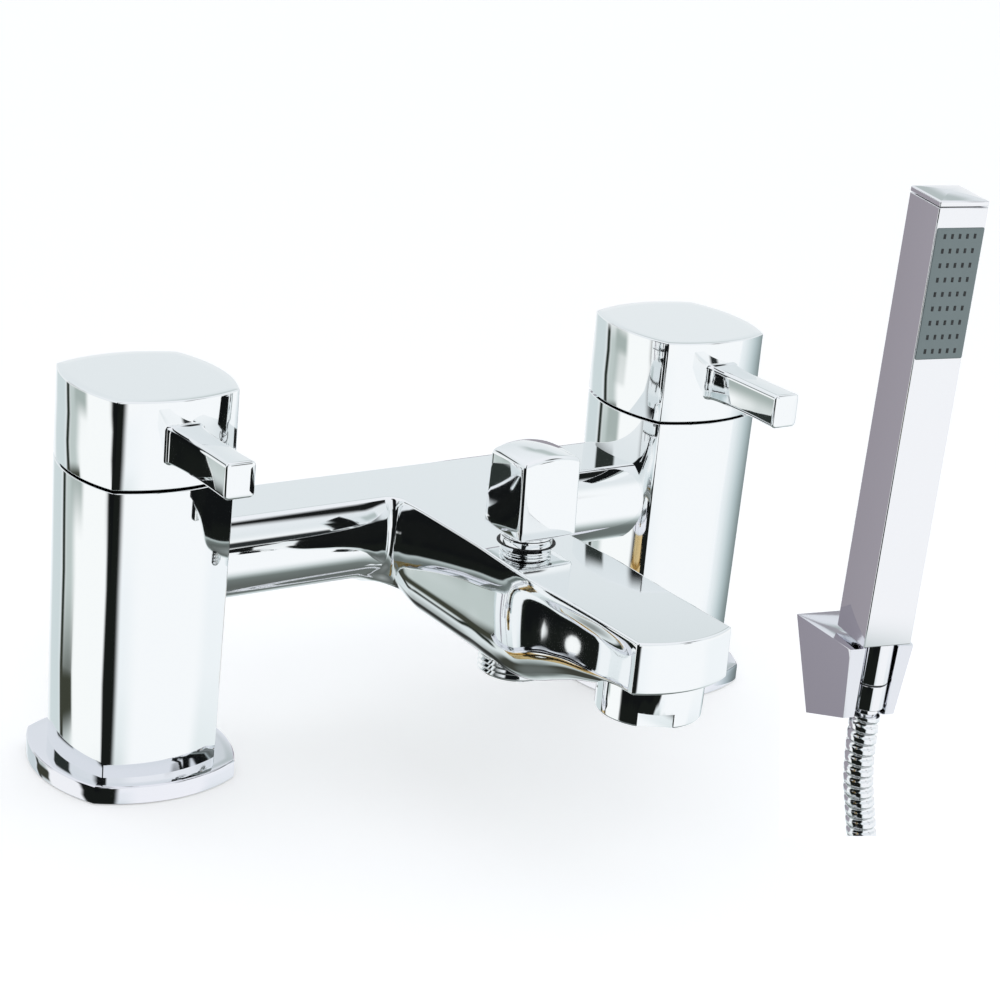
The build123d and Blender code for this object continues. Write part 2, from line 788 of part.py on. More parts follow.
with BuildPart() as handset_body:
    with BuildSketch(handset_frame):
        RectangleRounded(handset_w, handset_w, handset_edge_r)
    extrude(amount=body_l)
    with BuildSketch(handset_frame.offset(handset_wall)):
        Rectangle(handset_w - 2 * handset_wall, handset_w - 2 * handset_wall)
    extrude(amount=body_l - handset_wall, mode=Mode.SUBTRACT)
    # the spray plate lies on a step, over a window
    with BuildSketch(bar_front(plate_mid, plate_sink)):
        Rectangle(handset_w + overrun, plate_l + cap_joint)
    extrude(amount=overrun, mode=Mode.SUBTRACT)
    with BuildSketch(bar_front(plate_mid, handset_wall + overrun)):
        Rectangle(window_w, window_l)
    extrude(amount=handset_wall + 2 * overrun, mode=Mode.SUBTRACT)
    with BuildSketch(inlet_frame):
        Circle(inlet_bore_r)
    extrude(amount=handset_wall, mode=Mode.SUBTRACT)
write(handset_body, "handset_body")

with BuildPart() as handset_end_cap:
    with BuildSketch(handset_frame.offset(body_l)):
        RectangleRounded(handset_w - 2 * cap_joint, handset_w - 2 * cap_joint, handset_edge_r)
    extrude(amount=cap_joint)
    with BuildSketch(handset_frame.offset(body_l + cap_joint)):
        RectangleRounded(handset_w, handset_w, handset_edge_r)
    extrude(amount=end_cap_h + end_cap_crown - cap_joint)
    # the top is crowned from side to side
    with BuildSketch(bar_front(body_l, 0)):
        with BuildLine():
            crown_top = (0, end_cap_h + end_cap_crown)
            ThreePointArc((-handset_half, end_cap_h), crown_top, (handset_half, end_cap_h))
            Line((handset_half, end_cap_h), (handset_half, 0))
            Line((handset_half, 0), (-handset_half, 0))
            Line((-handset_half, 0), (-handset_half, end_cap_h))
        make_face()
    extrude(amount=-handset_w, mode=Mode.INTERSECT)
write(handset_end_cap, "handset_end_cap")

with BuildPart() as spray_plate:
    with BuildSketch(bar_front(plate_mid, plate_sink)):
        Rectangle(plate_w, plate_l)
        with GridLocations(nozzle_pitch_x, nozzle_pitch_z, nozzle_columns, nozzle_rows):
            Rectangle(nozzle_w, nozzle_h, mode=Mode.SUBTRACT)
    extrude(amount=plate_sink + plate_proud)
write(spray_plate, "spray_plate")

with BuildPart() as spray_nozzles:
    with BuildSketch(bar_front(plate_mid, plate_sink + mat_t)):
        Rectangle(window_w, window_l)
    extrude(amount=mat_t)
    with BuildSketch(bar_front(plate_mid, plate_sink)):
        with GridLocations(nozzle_pitch_x, nozzle_pitch_z, nozzle_columns, nozzle_rows):
            Rectangle(nozzle_w, nozzle_h)
    extrude(amount=plate_sink + plate_proud + nozzle_proud)
write(spray_nozzles, "spray_nozzles")

with BuildPart() as handset_inlet:
    with BuildSketch(inlet_frame.offset(-inlet_l)):
        ring(inlet_r, inlet_bore_r)
    extrude(amount=inlet_l)
write(handset_inlet, "handset_inlet")

with BuildPart() as handset_washer:
    with BuildSketch(inlet_frame.offset(nut_top)):
        ring(hose_nut_r - seat_gap, inlet_bore_r)
    extrude(amount=ring_t)
write(handset_washer, "handset_washer")

with BuildPart() as hose_nut:
    with BuildSketch(inlet_frame.offset(nut_foot)):
        ring(hose_nut_r, hose_bore_r)
    extrude(amount=hose_nut_l)
write(hose_nut, "hose_nut")

with BuildPart() as hose_ferrule:
    with BuildSketch(inlet_frame.offset(hose_top)):
        ring(ferrule_r, hose_bore_r)
    extrude(amount=ferrule_l)
write(hose_ferrule, "hose_ferrule")

# Wall bracket: a wedge with a tapered slot for the handset's inlet

bracket_frame = Plane(origin=kit_place, x_dir=across, z_dir=(0, 0, 1))
front_lean = degrees(atan2(bracket_foot_y - bracket_front_y, bracket_front_top_z - bracket_front_foot_z))
front_drop = (bracket_front_top_z - bracket_front_foot_z) / cos(radians(front_lean))


def upright(y, z, lean=0):
    """A plane across the bracket, its Y up the wall and its normal out of the wall."""
    origin = bracket_frame.from_local_coords(Vector(0, y, z))
    face = Plane(origin=origin, x_dir=bracket_frame.x_dir, z_dir=-bracket_frame.y_dir)
    return face.rotated((lean, 0, 0))


def wedge_face(top_half, foot_half_w, drop):
    """A face that narrows downwards from its top edge, in the active sketch."""
    with BuildLine() as outline:
        Polyline((-top_half, 0), (top_half, 0), (foot_half_w, -drop), (-foot_half_w, -drop), close=True)
    make_face(outline.edges())


with BuildPart() as wall_bracket:
    with BuildSketch(upright(bracket_back_y, bracket_back_top_z)):
        wedge_face(bracket_back_top_half, bracket_back_foot_half, bracket_back_top_z - bracket_back_foot_z)
    with BuildSketch(upright(bracket_front_y, bracket_front_top_z, front_lean)):
        wedge_face(bracket_front_top_half, bracket_front_foot_half, front_drop)
    loft(ruled=True)
    for height, radius in ((bracket_back_foot_z, slot_foot_r), (overrun, slot_top_r)):
        with BuildSketch(handset_frame.offset(height)):
            Circle(radius)
            with Locations((0, -handset_half)):
                Rectangle(2 * radius, handset_w)
    loft(ruled=True, mode=Mode.SUBTRACT)
    # two screws hold it from inside the slot
    for radius, reach in ((wall_hole_r, bracket_back_y), (wall_hole_head_r, wall_hole_head_y)):
        with BuildSketch(upright(0, wall_hole_mid_z)):
            with GridLocations(0, wall_hole_pitch, 1, 2):
                Circle(radius)
        extrude(amount=-reach, mode=Mode.SUBTRACT)
write(wall_bracket, "wall_bracket")

# Hose: a ribbed drop from the nut, then the coil that it is put away in


def turn_angle(before, here, after):
    """Angle in degrees by which a route turns at its middle point."""
    return (Vector(*here) - Vector(*before)).get_angle(Vector(*after) - Vector(*here))


def run_length(here, after):
    """Length of one run of a route."""
    return (Vector(*after) - Vector(*here)).length


corner_radii = []
for before, here, after in zip(hose_route, hose_route[1:], hose_route[2:]):
    shorter = min(run_length(before, here), run_length(here, after))
    half_turn = radians(turn_angle(before, here, after) / 2)
    corner_radii.append(bend_share * shorter / tan(half_turn))
print("hose radii", [round(radius, 1) for radius in corner_radii])

with BuildLine() as drop_line:
    FilletPolyline(*hose_route, radius=corner_radii)
drop_path = drop_line.wires()[0]
coil_heading = (drop_path % 1).normalized()
coil_outward = Vector(0, 0, 1).cross(coil_heading)
rib_count = int(drop_path.length / rib_pitch)
rib_step_share = 1 / rib_count

with BuildPart() as hose_drop:
    for rib in range(rib_count):
        for share, radius in zip(rib_shares, (rib_root_r, hose_r, hose_r, rib_root_r)):
            place = (rib + share) * rib_step_share
            with BuildSketch(Plane(origin=drop_path @ place, x_dir=coil_outward, z_dir=drop_path % place)):
                Circle(radius)
    loft(ruled=True)
    with BuildSketch(Plane(origin=drop_path @ 0, x_dir=coil_outward, z_dir=drop_path % 0)):
        Circle(hose_bore_r)
    sweep(path=drop_path, mode=Mode.SUBTRACT)
write(hose_drop, "hose_drop")
print("hose drop length", round(drop_path.length, 1), "ribs", rib_count)
tube_section = pi * ((hose_r**2 + rib_root_r**2) / 2 - hose_bore_r**2)
print("hose drop volume", round(hose_drop.part.volume), "of about", round(tube_section * drop_path.length))

coil_start = Vector(*hose_route[-1]) + coil_heading * 2 * hose_r
coil_middle = coil_start - coil_outward * coil_outer_r


def coil_place(quarter):
    """Place and heading on the coil: in along the top layer, then out again on the one below."""
    from_turn_back = abs(quarter - coil_turn_back)
    radius = coil_outer_r - coil_step / 4 * (coil_turn_back - from_turn_back)
    climb_share = min(max((quarter - coil_turn_back + 1) / 2, 0), 1)
    outward = coil_outward.rotate(Axis.Z, -90 * quarter)
    place = coil_middle + outward * radius - Vector(0, 0, coil_step * climb_share)
    return place, coil_heading.rotate(Axis.Z, -90 * quarter)


def biarc(start, start_way, end, end_way):
    """Two arcs that meet smoothly, from one place and heading to the next, in the active line."""
    span = end - start
    square = 2 * (1 - start_way.dot(end_way))
    slope = 2 * span.dot(start_way + end_way)
    length = span.dot(span)
    reach = 2 * length / (slope + sqrt(slope**2 + 4 * square * length))
    near = start + start_way * reach
    far = end - end_way * reach
    meeting = (near + far) / 2
    TangentArc(start, meeting, tangent=start_way)
    TangentArc(meeting, end, tangent=far - near)


def least_self_gap(path, thickness):
    """The least gap of a tube to itself, measured between points one radius apart."""
    count = ceil(2 * path.length / thickness)
    points = [path @ (step / count) for step in range(count + 1)]
    gaps = []
    for first in range(count + 1):
        for second in range(first + gap_skip_count, count + 1):
            gaps.append((points[second] - points[first]).length - thickness)
    return min(gaps)


with BuildLine() as coil_line:
    Line(Vector(*hose_route[-1]), coil_start)
    for quarter in range(coil_quarters):
        place, heading = coil_place(quarter)
        next_place, next_heading = coil_place(quarter + 1)
        biarc(place, heading, next_place, next_heading)
    # the tail lifts to the height of its nut, which lies on the floor
    tail_place = next_place + next_heading * coil_tail + coil_outward * coil_tail_aside
    tail_place += Vector(0, 0, end_nut_r - hose_r)
    biarc(next_place, next_heading, tail_place, next_heading)
    tail_end = tail_place + next_heading * 2 * hose_r
    Line(tail_place, tail_end)
coil_path = coil_line.wires()[0]

with BuildPart() as hose_coil:
    with BuildSketch(Plane(origin=coil_path @ 0, z_dir=coil_path % 0)):
        Circle(hose_r)
    sweep(path=coil_path)
write(hose_coil, "hose_coil")
print("coil length", round(coil_path.length, 1))
print("coil gap", round(least_self_gap(coil_path, 2 * hose_r), 2))
print("coil volume", round(hose_coil.part.volume), "of about", round(pi * hose_r**2 * coil_path.length))

tail_frame = Plane(origin=tail_end, x_dir=coil_outward, z_dir=next_heading)
with BuildPart() as hose_end_ferrule:
    with BuildSketch(tail_frame):
        ring(end_ferrule_r, hose_bore_r)
    extrude(amount=end_ferrule_l)
write(hose_end_ferrule, "hose_end_ferrule")

with BuildPart() as hose_end_nut:
    with BuildSketch(tail_frame.offset(end_ferrule_l - end_nut_back)):
        ring(end_nut_r, end_ferrule_r)
    extrude(amount=end_nut_back)
    with BuildSketch(tail_frame.offset(end_ferrule_l)):
        ring(end_nut_r, end_washer_r)
    extrude(amount=end_washer_t)
    with BuildSketch(tail_frame.offset(end_ferrule_l + end_washer_t)):
        ring(end_nut_r, end_nut_bore_r)
    extrude(amount=end_nut_l - end_nut_back - end_washer_t)
    # the thread runs out into a relief
    with BuildSketch(tail_frame.offset(end_ferrule_l + end_washer_t)):
        Circle(end_relief_r)
    extrude(amount=end_relief_l, mode=Mode.SUBTRACT)
write(hose_end_nut, "hose_end_nut")

with BuildPart() as hose_end_washer:
    with BuildSketch(tail_frame.offset(end_ferrule_l)):
        ring(end_washer_r, hose_bore_r)
    extrude(amount=end_washer_t)
write(hose_end_washer, "hose_end_washer")
hose_length = drop_path.length + coil_path.length + end_ferrule_l
print("hose length in all", round(hose_length))
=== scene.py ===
"""Bath shower mixer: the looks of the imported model.

Shapes are worked out in millimetres and made in metres.
"""
import json
import math

import bmesh
import bpy
from mathutils import Matrix, Vector


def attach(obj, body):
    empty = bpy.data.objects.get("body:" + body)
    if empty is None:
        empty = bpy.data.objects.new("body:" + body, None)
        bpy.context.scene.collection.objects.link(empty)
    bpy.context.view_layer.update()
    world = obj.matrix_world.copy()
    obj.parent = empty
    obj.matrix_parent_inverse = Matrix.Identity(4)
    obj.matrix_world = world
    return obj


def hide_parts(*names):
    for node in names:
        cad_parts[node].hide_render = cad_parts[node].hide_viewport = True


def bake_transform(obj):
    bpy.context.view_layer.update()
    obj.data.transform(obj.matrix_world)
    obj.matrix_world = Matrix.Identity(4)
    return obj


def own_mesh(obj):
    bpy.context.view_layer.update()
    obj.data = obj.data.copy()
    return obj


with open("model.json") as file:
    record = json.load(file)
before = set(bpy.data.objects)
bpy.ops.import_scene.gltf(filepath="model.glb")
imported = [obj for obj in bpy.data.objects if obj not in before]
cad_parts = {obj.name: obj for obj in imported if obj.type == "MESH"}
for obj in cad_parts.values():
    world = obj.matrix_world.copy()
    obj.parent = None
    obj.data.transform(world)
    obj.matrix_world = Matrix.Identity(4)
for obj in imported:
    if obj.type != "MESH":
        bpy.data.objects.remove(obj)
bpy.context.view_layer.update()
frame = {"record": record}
scene = bpy.context.scene
MM = 0.001
QUARTER = math.pi / 2

# Driving sizes, in millimetres, as the model has them
CENTRES = 180.0
PILLAR_X = CENTRES / 2
FLANGE_HALF = 21.5
FLANGE_BULGE = 6.0
FLANGE_H = 5.2
FLANGE_ROUND = 0.6
FLANGE_CORNER_R = 0.7
FOOT_HALF = 17.35
HEAD_HALF = 18.15
PILLAR_BULGE = 4.2
CORNER_R = 1.25
SEAM_Z = 87.8
CAP_FOOT_Z = 88.6
CAP_TOP_Z = 113.0
EDGE_R = 0.45
LEVER_R = 1.4
BRIDGE_TOP_Z = 73.4
SPOUT_REACH = 127.6
SPOUT_HALF = 15.0
DIVERTER_Y = -55.0
GLAND_R = 7.15
OUTLET_R = 10.4775
OUTLET_BORE_R = 7.5
OUTLET_END_Z = 35.3
THREAD_PITCH = 1.45
THREAD_TURNS = 5
LEVER_Z = 100.6
KIT_PLACE = Vector((277.5, 90.45, -54.33))
KIT_TURN = math.radians(-10.8)
HANDSET_TILT = math.radians(2.72)
HANDSET_W = 21.0
HOSE_R = 6.0
RIB_PITCH = 4.8


def placed(name, data):
    """A new object in the scene with this data."""
    made = bpy.data.objects.new(name, data)
    scene.collection.objects.link(made)
    return made


# Camera, at the place and with the lens that the photograph was fitted with

CAMERA_ANGLES = (-35.62, 19.297, 5.336)
CAMERA_PLACE = (-0.416373, -0.622057, 0.330825)
CAMERA_LENS = 98.014


def add_camera():
    """The photograph's view: turned about Z, tipped down and rolled a little."""
    turn, tip, roll = (math.radians(angle) for angle in CAMERA_ANGLES)
    back = Vector((math.sin(turn) * math.cos(tip), -math.cos(turn) * math.cos(tip), math.sin(tip)))
    level = Vector((math.cos(turn), math.sin(turn), 0))
    upright = back.cross(level)
    right = level * math.cos(roll) + upright * math.sin(roll)
    up = upright * math.cos(roll) - level * math.sin(roll)
    data = bpy.data.cameras.new("camera")
    data.sensor_fit = "HORIZONTAL"
    data.sensor_width = 36.0
    data.lens = CAMERA_LENS
    data.clip_start = 0.02
    data.clip_end = 20.0
    camera = placed("camera", data)
    camera.matrix_world = Matrix((*zip(right, up, back, CAMERA_PLACE), (0, 0, 0, 1)))
    scene.camera = camera


add_camera()


# Node groups and their nodes

def new_group(kind, name, inputs, outputs):
    """A node group and its two ends, with the kind of each named socket."""
    group = bpy.data.node_groups.new(name, kind)
    for way, sockets in (("INPUT", inputs), ("OUTPUT", outputs)):
        for label, socket_kind in sockets.items():
            group.interface.new_socket(name=label, in_out=way,
                                       socket_type="NodeSocket" + socket_kind)
    return group, group.nodes.new("NodeGroupInput"), group.nodes.new("NodeGroupOutput")


def plug(tree, made, links):
    """Fills a node's inputs: (socket, value or other node's output) each."""
    for socket, source in links:
        target = made.inputs[socket]
        if isinstance(source, bpy.types.NodeSocket):
            tree.links.new(source, target)
        else:
            target.default_value = source


def node(tree, kind, links=(), **settings):
    """A node with its settings and its inputs."""
    made = tree.nodes.new(kind)
    for key, value in settings.items():
        setattr(made, key, value)
    plug(tree, made, links)
    return made


def math_node(tree, operation, *values):
    """A math node's result."""
    return node(tree, "ShaderNodeMath", list(enumerate(values)), operation=operation).outputs[0]


def vector_node(tree, operation, *values):
    """A vector math node with its operands."""
    return node(tree, "ShaderNodeVectorMath", list(enumerate(values)), operation=operation)


def smooth_map(tree, value, low, high, start, end):
    """A result that goes smoothly from start to end while the value goes from low to high."""
    return node(tree, "ShaderNodeMapRange",
                [("Value", value), ("From Min", low), ("From Max", high),
                 ("To Min", start), ("To Max", end)],
                interpolation_type="SMOOTHSTEP").outputs["Result"]


def ramp(tree, factor, stops):
    """A colour ramp's result, through stops of (position, colour) each."""
    made = node(tree, "ShaderNodeValToRGB", [("Fac", factor)])
    elements = made.color_ramp.elements
    for index, (position, colour) in enumerate(stops):
        element = elements[index] if index < 2 else elements.new(0.99)
        element.position = position
        element.color = (*colour, 1)
    return made.outputs["Color"]


# Shader groups and materials

def polish_group():
    """Fine polishing: roughness that varies softly, as faint water marks, and a low ripple."""
    group, given, result = new_group(
        "ShaderNodeTree", "Polish",
        dict.fromkeys(("Base Roughness", "Variation", "Scale", "Ripple"), "Float"),
        {"Roughness": "Float", "Normal": "Vector"},
    )
    place = node(group, "ShaderNodeTexCoord").outputs["Object"]
    haze = node(group, "ShaderNodeTexNoise",
                [("Vector", place), ("Scale", given.outputs["Scale"]), ("Detail", 4.0)])
    spread = node(group, "ShaderNodeMapRange",
                  [("Value", haze.outputs["Fac"]), ("From Min", 0.45), ("From Max", 0.75)])
    scaled = math_node(group, "MULTIPLY", spread.outputs["Result"], given.outputs["Variation"])
    wave = node(group, "ShaderNodeTexNoise", [("Vector", place), ("Scale", 38.0), ("Detail", 1.0)])
    bump = node(group, "ShaderNodeBump",
                [("Height", wave.outputs["Fac"]), ("Strength", given.outputs["Ripple"]),
                 ("Distance", 0.0004)])
    plug(group, result, [
        ("Roughness", math_node(group, "ADD", scaled, given.outputs["Base Roughness"])),
        ("Normal", bump.outputs["Normal"]),
    ])
    return group


def grain_group():
    """Fine moulded or cast grain: a mottled mask and its bump."""
    group, given, result = new_group(
        "ShaderNodeTree", "Grain", dict.fromkeys(("Scale", "Strength"), "Float"),
        {"Mask": "Float", "Normal": "Vector"},
    )
    place = node(group, "ShaderNodeTexCoord").outputs["Object"]
    noise = node(group, "ShaderNodeTexNoise",
                 [("Vector", place), ("Scale", given.outputs["Scale"]), ("Detail", 6.0)])
    bump = node(group, "ShaderNodeBump",
                [("Height", noise.outputs["Fac"]), ("Strength", given.outputs["Strength"]),
                 ("Distance", 0.0001)])
    plug(group, result, [("Mask", noise.outputs["Fac"]), ("Normal", bump.outputs["Normal"])])
    return group


POLISH = polish_group()
GRAIN = grain_group()


def blank_material(name):
    """A material with its node tree and its shader."""
    material = bpy.data.materials.new(name)
    material.use_nodes = True
    return material, material.node_tree, material.node_tree.nodes["Principled BSDF"]


def metal(name, colour, roughness, variation=0.015, scale=45.0, ripple=0.008):
    """Polished or drawn metal."""
    material, tree, shader = blank_material(name)
    polish = node(tree, "ShaderNodeGroup",
                  [("Base Roughness", roughness), ("Variation", variation),
                   ("Scale", scale), ("Ripple", ripple)],
                  node_tree=POLISH)
    plug(tree, shader, [("Base Color", (*colour, 1)), ("Metallic", 1.0),
                        ("Roughness", polish.outputs["Roughness"]),
                        ("Normal", polish.outputs["Normal"])])
    return material


def moulded(name, dark, light, roughness, strength=0.25, scale=900.0):
    """Rubber, plastic or ceramic, mottled between two close colours."""
    material, tree, shader = blank_material(name)
    grain = node(tree, "ShaderNodeGroup", [("Scale", scale), ("Strength", strength)],
                 node_tree=GRAIN)
    colour = ramp(tree, grain.outputs["Mask"], [(0.35, dark), (0.65, light)])
    plug(tree, shader, [("Base Color", colour), ("Roughness", roughness),
                        ("Normal", grain.outputs["Normal"])])
    return material


CHROME = metal("polished chrome", (0.93, 0.945, 0.95), 0.03)
KIT_CHROME = metal("handset chrome", (0.9, 0.9, 0.92), 0.045)
# The bracket gets a darker, blue-grey copy of the polished chrome: its colour is painted shade
# standing for what its sides reflect.
BRACKET_SHADED_CHROME = metal("bracket chrome, painted blue-grey shade", (0.80, 0.81, 0.85), 0.09)
# The flange gets a darker, mauve-tinted copy of the polished chrome: painted shade standing for
# what its top reflects.
FLANGE_SHADED_CHROME = metal("flange chrome, painted mauve shade", (0.86, 0.86, 0.905), 0.035)
HOSE_CHROME = metal("hose chrome", (0.9, 0.91, 0.93), 0.07, variation=0.04)
PLATE = metal("spray plate satin", (0.2, 0.24, 0.245), 0.3, variation=0.06, scale=220.0)
BRASS = metal("machined brass", (0.72, 0.53, 0.26), 0.22, variation=0.1, scale=180.0)
STEEL = metal("drawn steel", (0.62, 0.63, 0.64), 0.25, variation=0.1, scale=260.0)
RUBBER = moulded("black rubber", (0.012, 0.012, 0.013), (0.03, 0.03, 0.032), 0.6)
NOZZLE = moulded("nozzle rubber", (0.01, 0.012, 0.013), (0.03, 0.033, 0.035), 0.55)
CERAMIC = moulded("lapped ceramic", (0.8, 0.8, 0.78), (0.9, 0.9, 0.88), 0.15, strength=0.05)
PLASTIC = moulded("grey plastic", (0.62, 0.63, 0.64), (0.72, 0.73, 0.74), 0.4)

SLOT_FINISH = {
    "chrome": CHROME,
    "dark_chrome": PLATE,
    "hose_chrome": HOSE_CHROME,
    "brass": BRASS,
    "steel": STEEL,
    "ceramic": CERAMIC,
    "rubber": RUBBER,
    "nozzle_grey": PLASTIC,
    "nozzle_dark": NOZZLE,
}


# Making pieces: points this near, in metres, are one, and faces this level are flat

MERGE_WITHIN = 0.000004
CAD_MERGE_WITHIN = 0.000003
FLAT_WITHIN = math.radians(0.6)


def finish_piece(piece, body, nodes=()):
    """Rides on its body and stands for its nodes, which it hides."""
    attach(piece, body)
    if nodes:
        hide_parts(*nodes)
    return piece


def clean(mesh, merge, flatten=False, smooth=True):
    """Merges a mesh's points, turns its faces outward and, where asked, joins flat ones."""
    shape = bmesh.new()
    shape.from_mesh(mesh)
    bmesh.ops.remove_doubles(shape, verts=shape.verts, dist=merge)
    if flatten:
        bmesh.ops.dissolve_limit(shape, angle_limit=FLAT_WITHIN, verts=shape.verts,
                                 edges=shape.edges)
    bmesh.ops.recalc_face_normals(shape, faces=shape.faces)
    for face in shape.faces:
        face.smooth = smooth or face.smooth
    shape.to_mesh(mesh)
    shape.free()


def mesh_piece(name, points_and_faces, material, body, nodes=()):
    """A closed smooth piece from points in millimetres and faces."""
    points, faces = points_and_faces
    mesh = bpy.data.meshes.new(name)
    mesh.from_pydata([tuple(Vector(point) * MM) for point in points], [], faces)
    clean(mesh, MERGE_WITHIN)
    mesh.materials.append(material)
    return finish_piece(placed(name, mesh), body, nodes)


def skin(rings, capped=True):
    """Points and faces of a tube through closed rings; its ends are capped or joined."""
    count = len(rings[0])
    total = len(rings) * count
    faces = []
    for row in range(0, total - count if capped else total, count):
        beyond = (row + count) % total
        for step in range(count):
            after = (step + 1) % count
            faces.append((row + step, row + after, beyond + after, beyond + step))
    if capped:
        faces += [tuple(reversed(range(count))), tuple(range(total - count, total))]
    return [point for ring in rings for point in ring], faces


def bulged_outline(half, bulge, corner_r, inset=0.0, side_steps=28, corner_steps=6):
    """A square with bowed sides and round corners, drawn in by the inset."""
    big = (half * half + bulge * bulge) / (2 * bulge)
    centre = big - half - bulge
    big -= inset
    corner_r = max(corner_r - inset, 0.04)
    reach = big - corner_r
    spot = (-centre + math.sqrt(2 * reach * reach - centre * centre)) / 2
    turn = math.atan2(spot, spot + centre)
    arcs = [(Vector((0, centre)), big, -turn + 2 * turn * step / side_steps)
            for step in range(side_steps + 1)]
    arcs += [(Vector((spot, -spot)), corner_r, turn + (QUARTER - 2 * turn) * step / corner_steps)
             for step in range(1, corner_steps)]
    return [turned(middle + Vector((math.sin(angle), -math.cos(angle))) * radius, side * QUARTER)
            for side in range(4) for middle, radius, angle in arcs]


def turned(vector, angle):
    """A flat vector turned about Z."""
    cosine, sine = math.cos(angle), math.sin(angle)
    return Vector((vector.x * cosine - vector.y * sine, vector.x * sine + vector.y * cosine))


def edge_levels(z, radius, upward, steps=4):
    """(height, inset) pairs round an edge: at a top edge they end on the top face."""
    levels = []
    for step in range(steps + 1):
        angle = QUARTER * step / steps
        inset = radius * (1 - math.cos(angle))
        drop = radius * (1 - math.sin(angle))
        levels.append((z - drop if upward else z + drop, inset))
    return levels if upward else list(reversed(levels))


def column(outline_at, x, foot_z, top_z, foot_r, top_r, inner=2.5, middle=2):
    """Rings of an upright column with round edges; its end faces get an inner ring."""
    levels = edge_levels(foot_z, foot_r, False)
    levels.insert(0, (foot_z, foot_r + inner))
    for step in range(1, middle + 1):
        share = step / (middle + 1)
        levels.append((foot_z + foot_r + (top_z - top_r - foot_z - foot_r) * share, 0.0))
    levels += edge_levels(top_z, top_r, True)
    levels.append((top_z, top_r + inner))
    return [[Vector((x + point.x, point.y, z)) for point in outline_at(z, inset)]
            for z, inset in levels]


def lathe(profile, origin, axis, across, steps=64):
    """Rings of a turned piece: profile holds (radius, height) pairs along the axis."""
    third = axis.cross(across)
    rings = []
    for radius, height in profile:
        ring = []
        for step in range(steps):
            angle = 2 * math.pi * step / steps
            way = across * math.cos(angle) + third * math.sin(angle)
            ring.append(origin + axis * height + way * radius)
        rings.append(ring)
    return rings


def bend(first, corner, last, share):
    """A point on a small round between two lines."""
    return tuple(a * (1 - share) ** 2 + b * 2 * share * (1 - share) + c * share**2
                 for a, b, c in zip(first, corner, last))


def rounded(corners, radius, steps=4):
    """A profile with its inner corners rounded, for a lathe."""
    smooth = [corners[0]]
    for before, here, after in zip(corners, corners[1:], corners[2:]):
        before, corner, after = Vector(before), Vector(here), Vector(after)
        cut = min(radius, (before - corner).length * 0.45, (after - corner).length * 0.45)
        first = corner + (before - corner).normalized() * cut
        last = corner + (after - corner).normalized() * cut
        smooth += [bend(first, corner, last, step / steps) for step in range(steps + 1)]
    smooth.append(corners[-1])
    return smooth


UP = Vector((0, 0, 1))
EAST = Vector((1, 0, 0))


# Hose: one line through the route's points, the coil's turns and the tail

DROP_ROUTE = [
    (277.130, 88.512, -86.560),
    (277.326, 89.538, -108.535),
    (283.5, 89.0, -134.5),
    (288.7, 85.3, -170.9),
    (292.9, 82.3, -212.6),
    (288.2, 72.9, -247.1),
    (276.6, 56.7, -272.1),
    (259.3, 32.5, -284.0),
    (241.9, 8.1, -284.0),
]
COIL_OUTER_R = 70.0
COIL_STEP = 12.8
COIL_QUARTERS = 12
COIL_TURN_BACK = 6
COIL_TAIL_ASIDE = 16.0
END_NUT_R = 12.0
POINTS_A_QUARTER = 4

# The tail: how far along, and the share of the way aside and up onto its nut
TAIL_ROUTE = [(2, 0), (14, 0.08), (30, 0.5), (44, 0.95), (54, 1), (64, 1)]
RIB_DEPTH = 0.75
HOSE_STEP = 0.4
HOSE_SIDES = 20


def coil_frame():
    """Where the coil starts, its heading there and the way out from its middle."""
    last, end = Vector(DROP_ROUTE[-2]), Vector(DROP_ROUTE[-1])
    heading = (end - last).normalized()
    return end + heading * 2 * HOSE_R, heading, UP.cross(heading)


def hose_points():
    """The hose's control points: the drop, the coil's turns and the tail to its nut."""
    start, heading, outward = coil_frame()
    middle = start - outward * COIL_OUTER_R
    points = [Vector(point) for point in DROP_ROUTE]
    # a control point stands out from the curve that it pulls
    pull = 1 / math.cos(math.pi / 4 / POINTS_A_QUARTER) ** 2
    for step in range(1, COIL_QUARTERS * POINTS_A_QUARTER):
        quarter = step / POINTS_A_QUARTER
        from_turn_back = abs(quarter - COIL_TURN_BACK)
        radius = COIL_OUTER_R - COIL_STEP / 4 * (COIL_TURN_BACK - from_turn_back)
        climb = min(max((quarter - COIL_TURN_BACK + 1) / 2, 0), 1)
        way = outward.copy()
        way.rotate(Matrix.Rotation(-QUARTER * quarter, 3, "Z"))
        points.append(middle + way * radius * pull - UP * COIL_STEP * climb)
    end = start - UP * COIL_STEP
    lift = UP * (END_NUT_R - HOSE_R)
    for along, share in TAIL_ROUTE:
        points.append(end + heading * along + (outward * COIL_TAIL_ASIDE + lift) * share)
    return points


def hose_curve():
    """The hose's centre line as a smooth curve."""
    points = hose_points()
    curve = bpy.data.curves.new("hose line", "CURVE")
    curve.dimensions = "3D"
    curve.resolution_u = 16
    spline = curve.splines.new("NURBS")
    spline.points.add(len(points) - 1)
    for spot, point in zip(spline.points, points):
        spot.co = (*(point * MM), 1)
    spline.order_u = 3
    spline.use_endpoint_u = True
    return placed("hose line", curve)


def captured(tree, geometry, items):
    """A node that keeps values on the geometry: (name, kind, source) each."""
    held = node(tree, "GeometryNodeCaptureAttribute", [("Geometry", geometry)])
    for label, kind, _ in items:
        held.capture_items.new(kind, label)
    plug(tree, held, [(label, source) for label, _, source in items])
    return held.outputs


